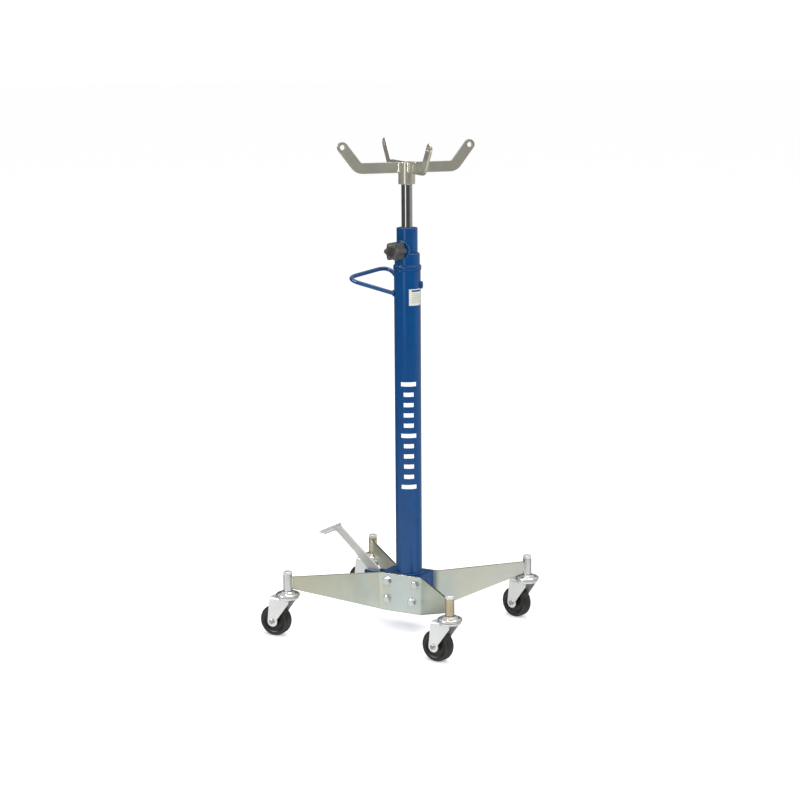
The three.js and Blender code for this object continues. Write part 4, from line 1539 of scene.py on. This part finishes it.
def add_pin():
    box_low, box_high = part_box("pedal_pivot_pin")
    pivot = (box_low + box_high) / 2
    radius = (box_high.z - box_low.z) / 2
    length = box_high.y - box_low.y
    profile = [
        (0, 0),
        (radius, 0),
        (radius, PIN_HEAD),
        (PIN_RADIUS, PIN_HEAD),
        (PIN_RADIUS, length),
        (0, length),
    ]
    move = Matrix.Translation((pivot.x, box_low.y, pivot.z)) @ facing((0, 1, 0))
    pin = placed(soften(turned(profile, 64), 0.0007), move)
    add_piece("pedal_pivot_pin_fine", pin, BRIGHT_ZINC, "frame", "steel", "pedal_pivot_pin")
    # an open wire clip near the pin's far end
    ring = [Vector((x, y, length - 0.0016)) for x, y in arc((0, 0), PIN_RADIUS + 0.0006, 25, 335, 40)]
    clip = placed(drawn(ring, CLIP_WIRE, 10), move)
    add_piece("pedal_pin_clip", clip, PLAIN_STEEL, "frame", "steel")


add_plunger()
free_length = add_spring()
add_pin()
print("spring free length", round(free_length, 4))

# %% [markdown]
# The pedal lever is flame cut from 6 mm plate, standing on edge. Its outline runs round the tail that
# pushes the plunger, the boss on the pin and the long arm. The foot tray is folded sheet, with its two
# sides and its end turned up so that a boot does not slip off.

# %% Pedal lever and foot tray
PEDAL_SHEET = 0.006
# the lever's corners measured from the pivot: (x, height, radius of the corner)
PEDAL_CORNERS = [
    (-0.144, 0.086, 0.0008),
    (-0.109, 0.1025, 0.009),
    (-0.057, 0.0565, 0.05),
    (-0.021, 0.020, 0.022),
    (-0.0122, 0.003, 0.006),
    (-0.011, -0.031, 0.0068),
    (0.003, -0.031, 0.0068),
    (0.003, -0.009, 0.003),
    (0.0145, -0.006, 0.004),
    (0.017, 0.004, 0.004),
    (0.015, 0.019, 0.005),
    (0.0064, 0.028, 0.006),
    (-0.0406, 0.067, 0),
    (-0.0945, 0.1145, 0.003),
    (-0.1425, 0.0905, 0.0008),
]


def add_pedal():
    pivot = Vector(joints["pedal_stroke"]["pos_m"])
    hole = arc((0, 0), 0.0053, 0, 360, 32)[:-1]
    bm = soften(plate(rounded(PEDAL_CORNERS), PEDAL_SHEET, [hole]), 0.0007, 2)
    stand = Matrix.Rotation(math.radians(90), 4, "X")
    bm = placed(bm, Matrix.Translation((pivot.x, AXIS.y, pivot.z)), stand)
    add_piece("pump_pedal_fine", bm, SHADED_PEDAL_ZINC, "pedal", "bright_zinc", "pump_pedal")


def add_tray():
    tray = soften(design_copy("pedal_foot_tray"), 0.0006, 2, 40)
    add_piece("pedal_foot_tray_fine", tray, SHADED_PEDAL_ZINC, "pedal", "bright_zinc", "pedal_foot_tray")


add_pedal()
add_tray()
print("pedal corners", len(PEDAL_CORNERS))

# %% [markdown]
# ## Labels
# A sticker and a printed scale lie on the column as very thin patches that follow its round. A small
# rectangle is spun through part of a turn. The sticker has blank bars and no words, and the scale is
# a plain row of marks for judging how far the ram has to rise.

# %% Sticker and height scale
FOIL = 0.00012


def wrap(start, end, bottom, top, lift, steps=20):
    """A thin patch on the column, from one angle to another in degrees."""
    bm = bmesh.new()
    inner, outer = tube_radius - 0.0003, tube_radius + lift
    points = [bm.verts.new((r, 0, z)) for r, z in ring_profile(inner, outer, bottom, top)]
    edges = [bm.edges.new(pair) for pair in zip(points, points[1:] + points[:1])]
    bmesh.ops.rotate(bm, verts=points, cent=(0, 0, 0), matrix=Matrix.Rotation(math.radians(start), 3, "Z"))
    swept = bmesh.ops.spin(bm, geom=points + edges, cent=(0, 0, 0), axis=(0, 0, 1),
                           angle=math.radians(end - start), steps=steps)["geom_last"]
    last = [item for item in swept if isinstance(item, bmesh.types.BMEdge)]
    bmesh.ops.edgeloop_fill(bm, edges=edges)
    bmesh.ops.edgeloop_fill(bm, edges=last)
    return placed(clean(bm), TO_AXIS)


LABEL_TOP = 0.8355
LABEL_BOTTOM = 0.7965
LABEL_START = -54
LABEL_END = 14.5
LABEL_MARGIN = 12
LABEL_ROWS = 6


def add_sticker():
    paper = wrap(LABEL_START, LABEL_END, LABEL_BOTTOM, LABEL_TOP, FOIL)
    add_piece("sticker", paper, STICKER_PAPER, "frame", "blue_paint")
    left = LABEL_START + LABEL_MARGIN
    header = wrap(left, LABEL_END - 5, LABEL_TOP - 0.0065, LABEL_TOP - 0.0025, 2 * FOIL)
    add_piece("sticker_header_bar", header, BLUE_ENAMEL, "frame", "blue_paint")
    rows = []
    for i in range(LABEL_ROWS):
        top = LABEL_TOP - 0.0100 - 0.0042 * i
        end = LABEL_END - (5 if i % 3 else 18)
        rows.append(wrap(left, end, top - 0.0017, top, 2 * FOIL))
    add_piece("sticker_rows", merged(*rows), ROW_PRINT, "frame", "blue_paint")


SCALE_MIDDLE = -58
SCALE_BOTTOM = 0.358
SCALE_TOP = 0.608
SCALE_MARKS = 11
MARK_HALF = 0.0050


def add_scale():
    marks = []
    pitch = (SCALE_TOP - SCALE_BOTTOM) / (SCALE_MARKS - 1)
    for i in range(SCALE_MARKS):
        # every fifth mark is wide
        half = 34 if i % 5 == 0 else 22
        level = SCALE_BOTTOM + pitch * i
        start, end = SCALE_MIDDLE - half, SCALE_MIDDLE + half
        marks.append(wrap(start, end, level - MARK_HALF, level + MARK_HALF, FOIL))
    add_piece("height_scale", merged(*marks), WHITE_PRINT, "frame", "blue_paint")


add_sticker()
add_scale()
print("scale marks", SCALE_MARKS)

# %% [markdown]
# The pieces that are sealed inside keep their designed shape. They still get a real finish, because
# the jack may be taken apart or cut open by whoever uses it.

# %% Inner pieces
for node in ("pressure_cylinder", "ram_guide", "release_spindle"):
    slots = frame["nodes"][node].data.materials
    slots.clear()
    slots.append(PLAIN_STEEL)
shown = [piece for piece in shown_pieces() if "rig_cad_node" in piece]
print("designed nodes still shown", sorted(piece.name for piece in shown))
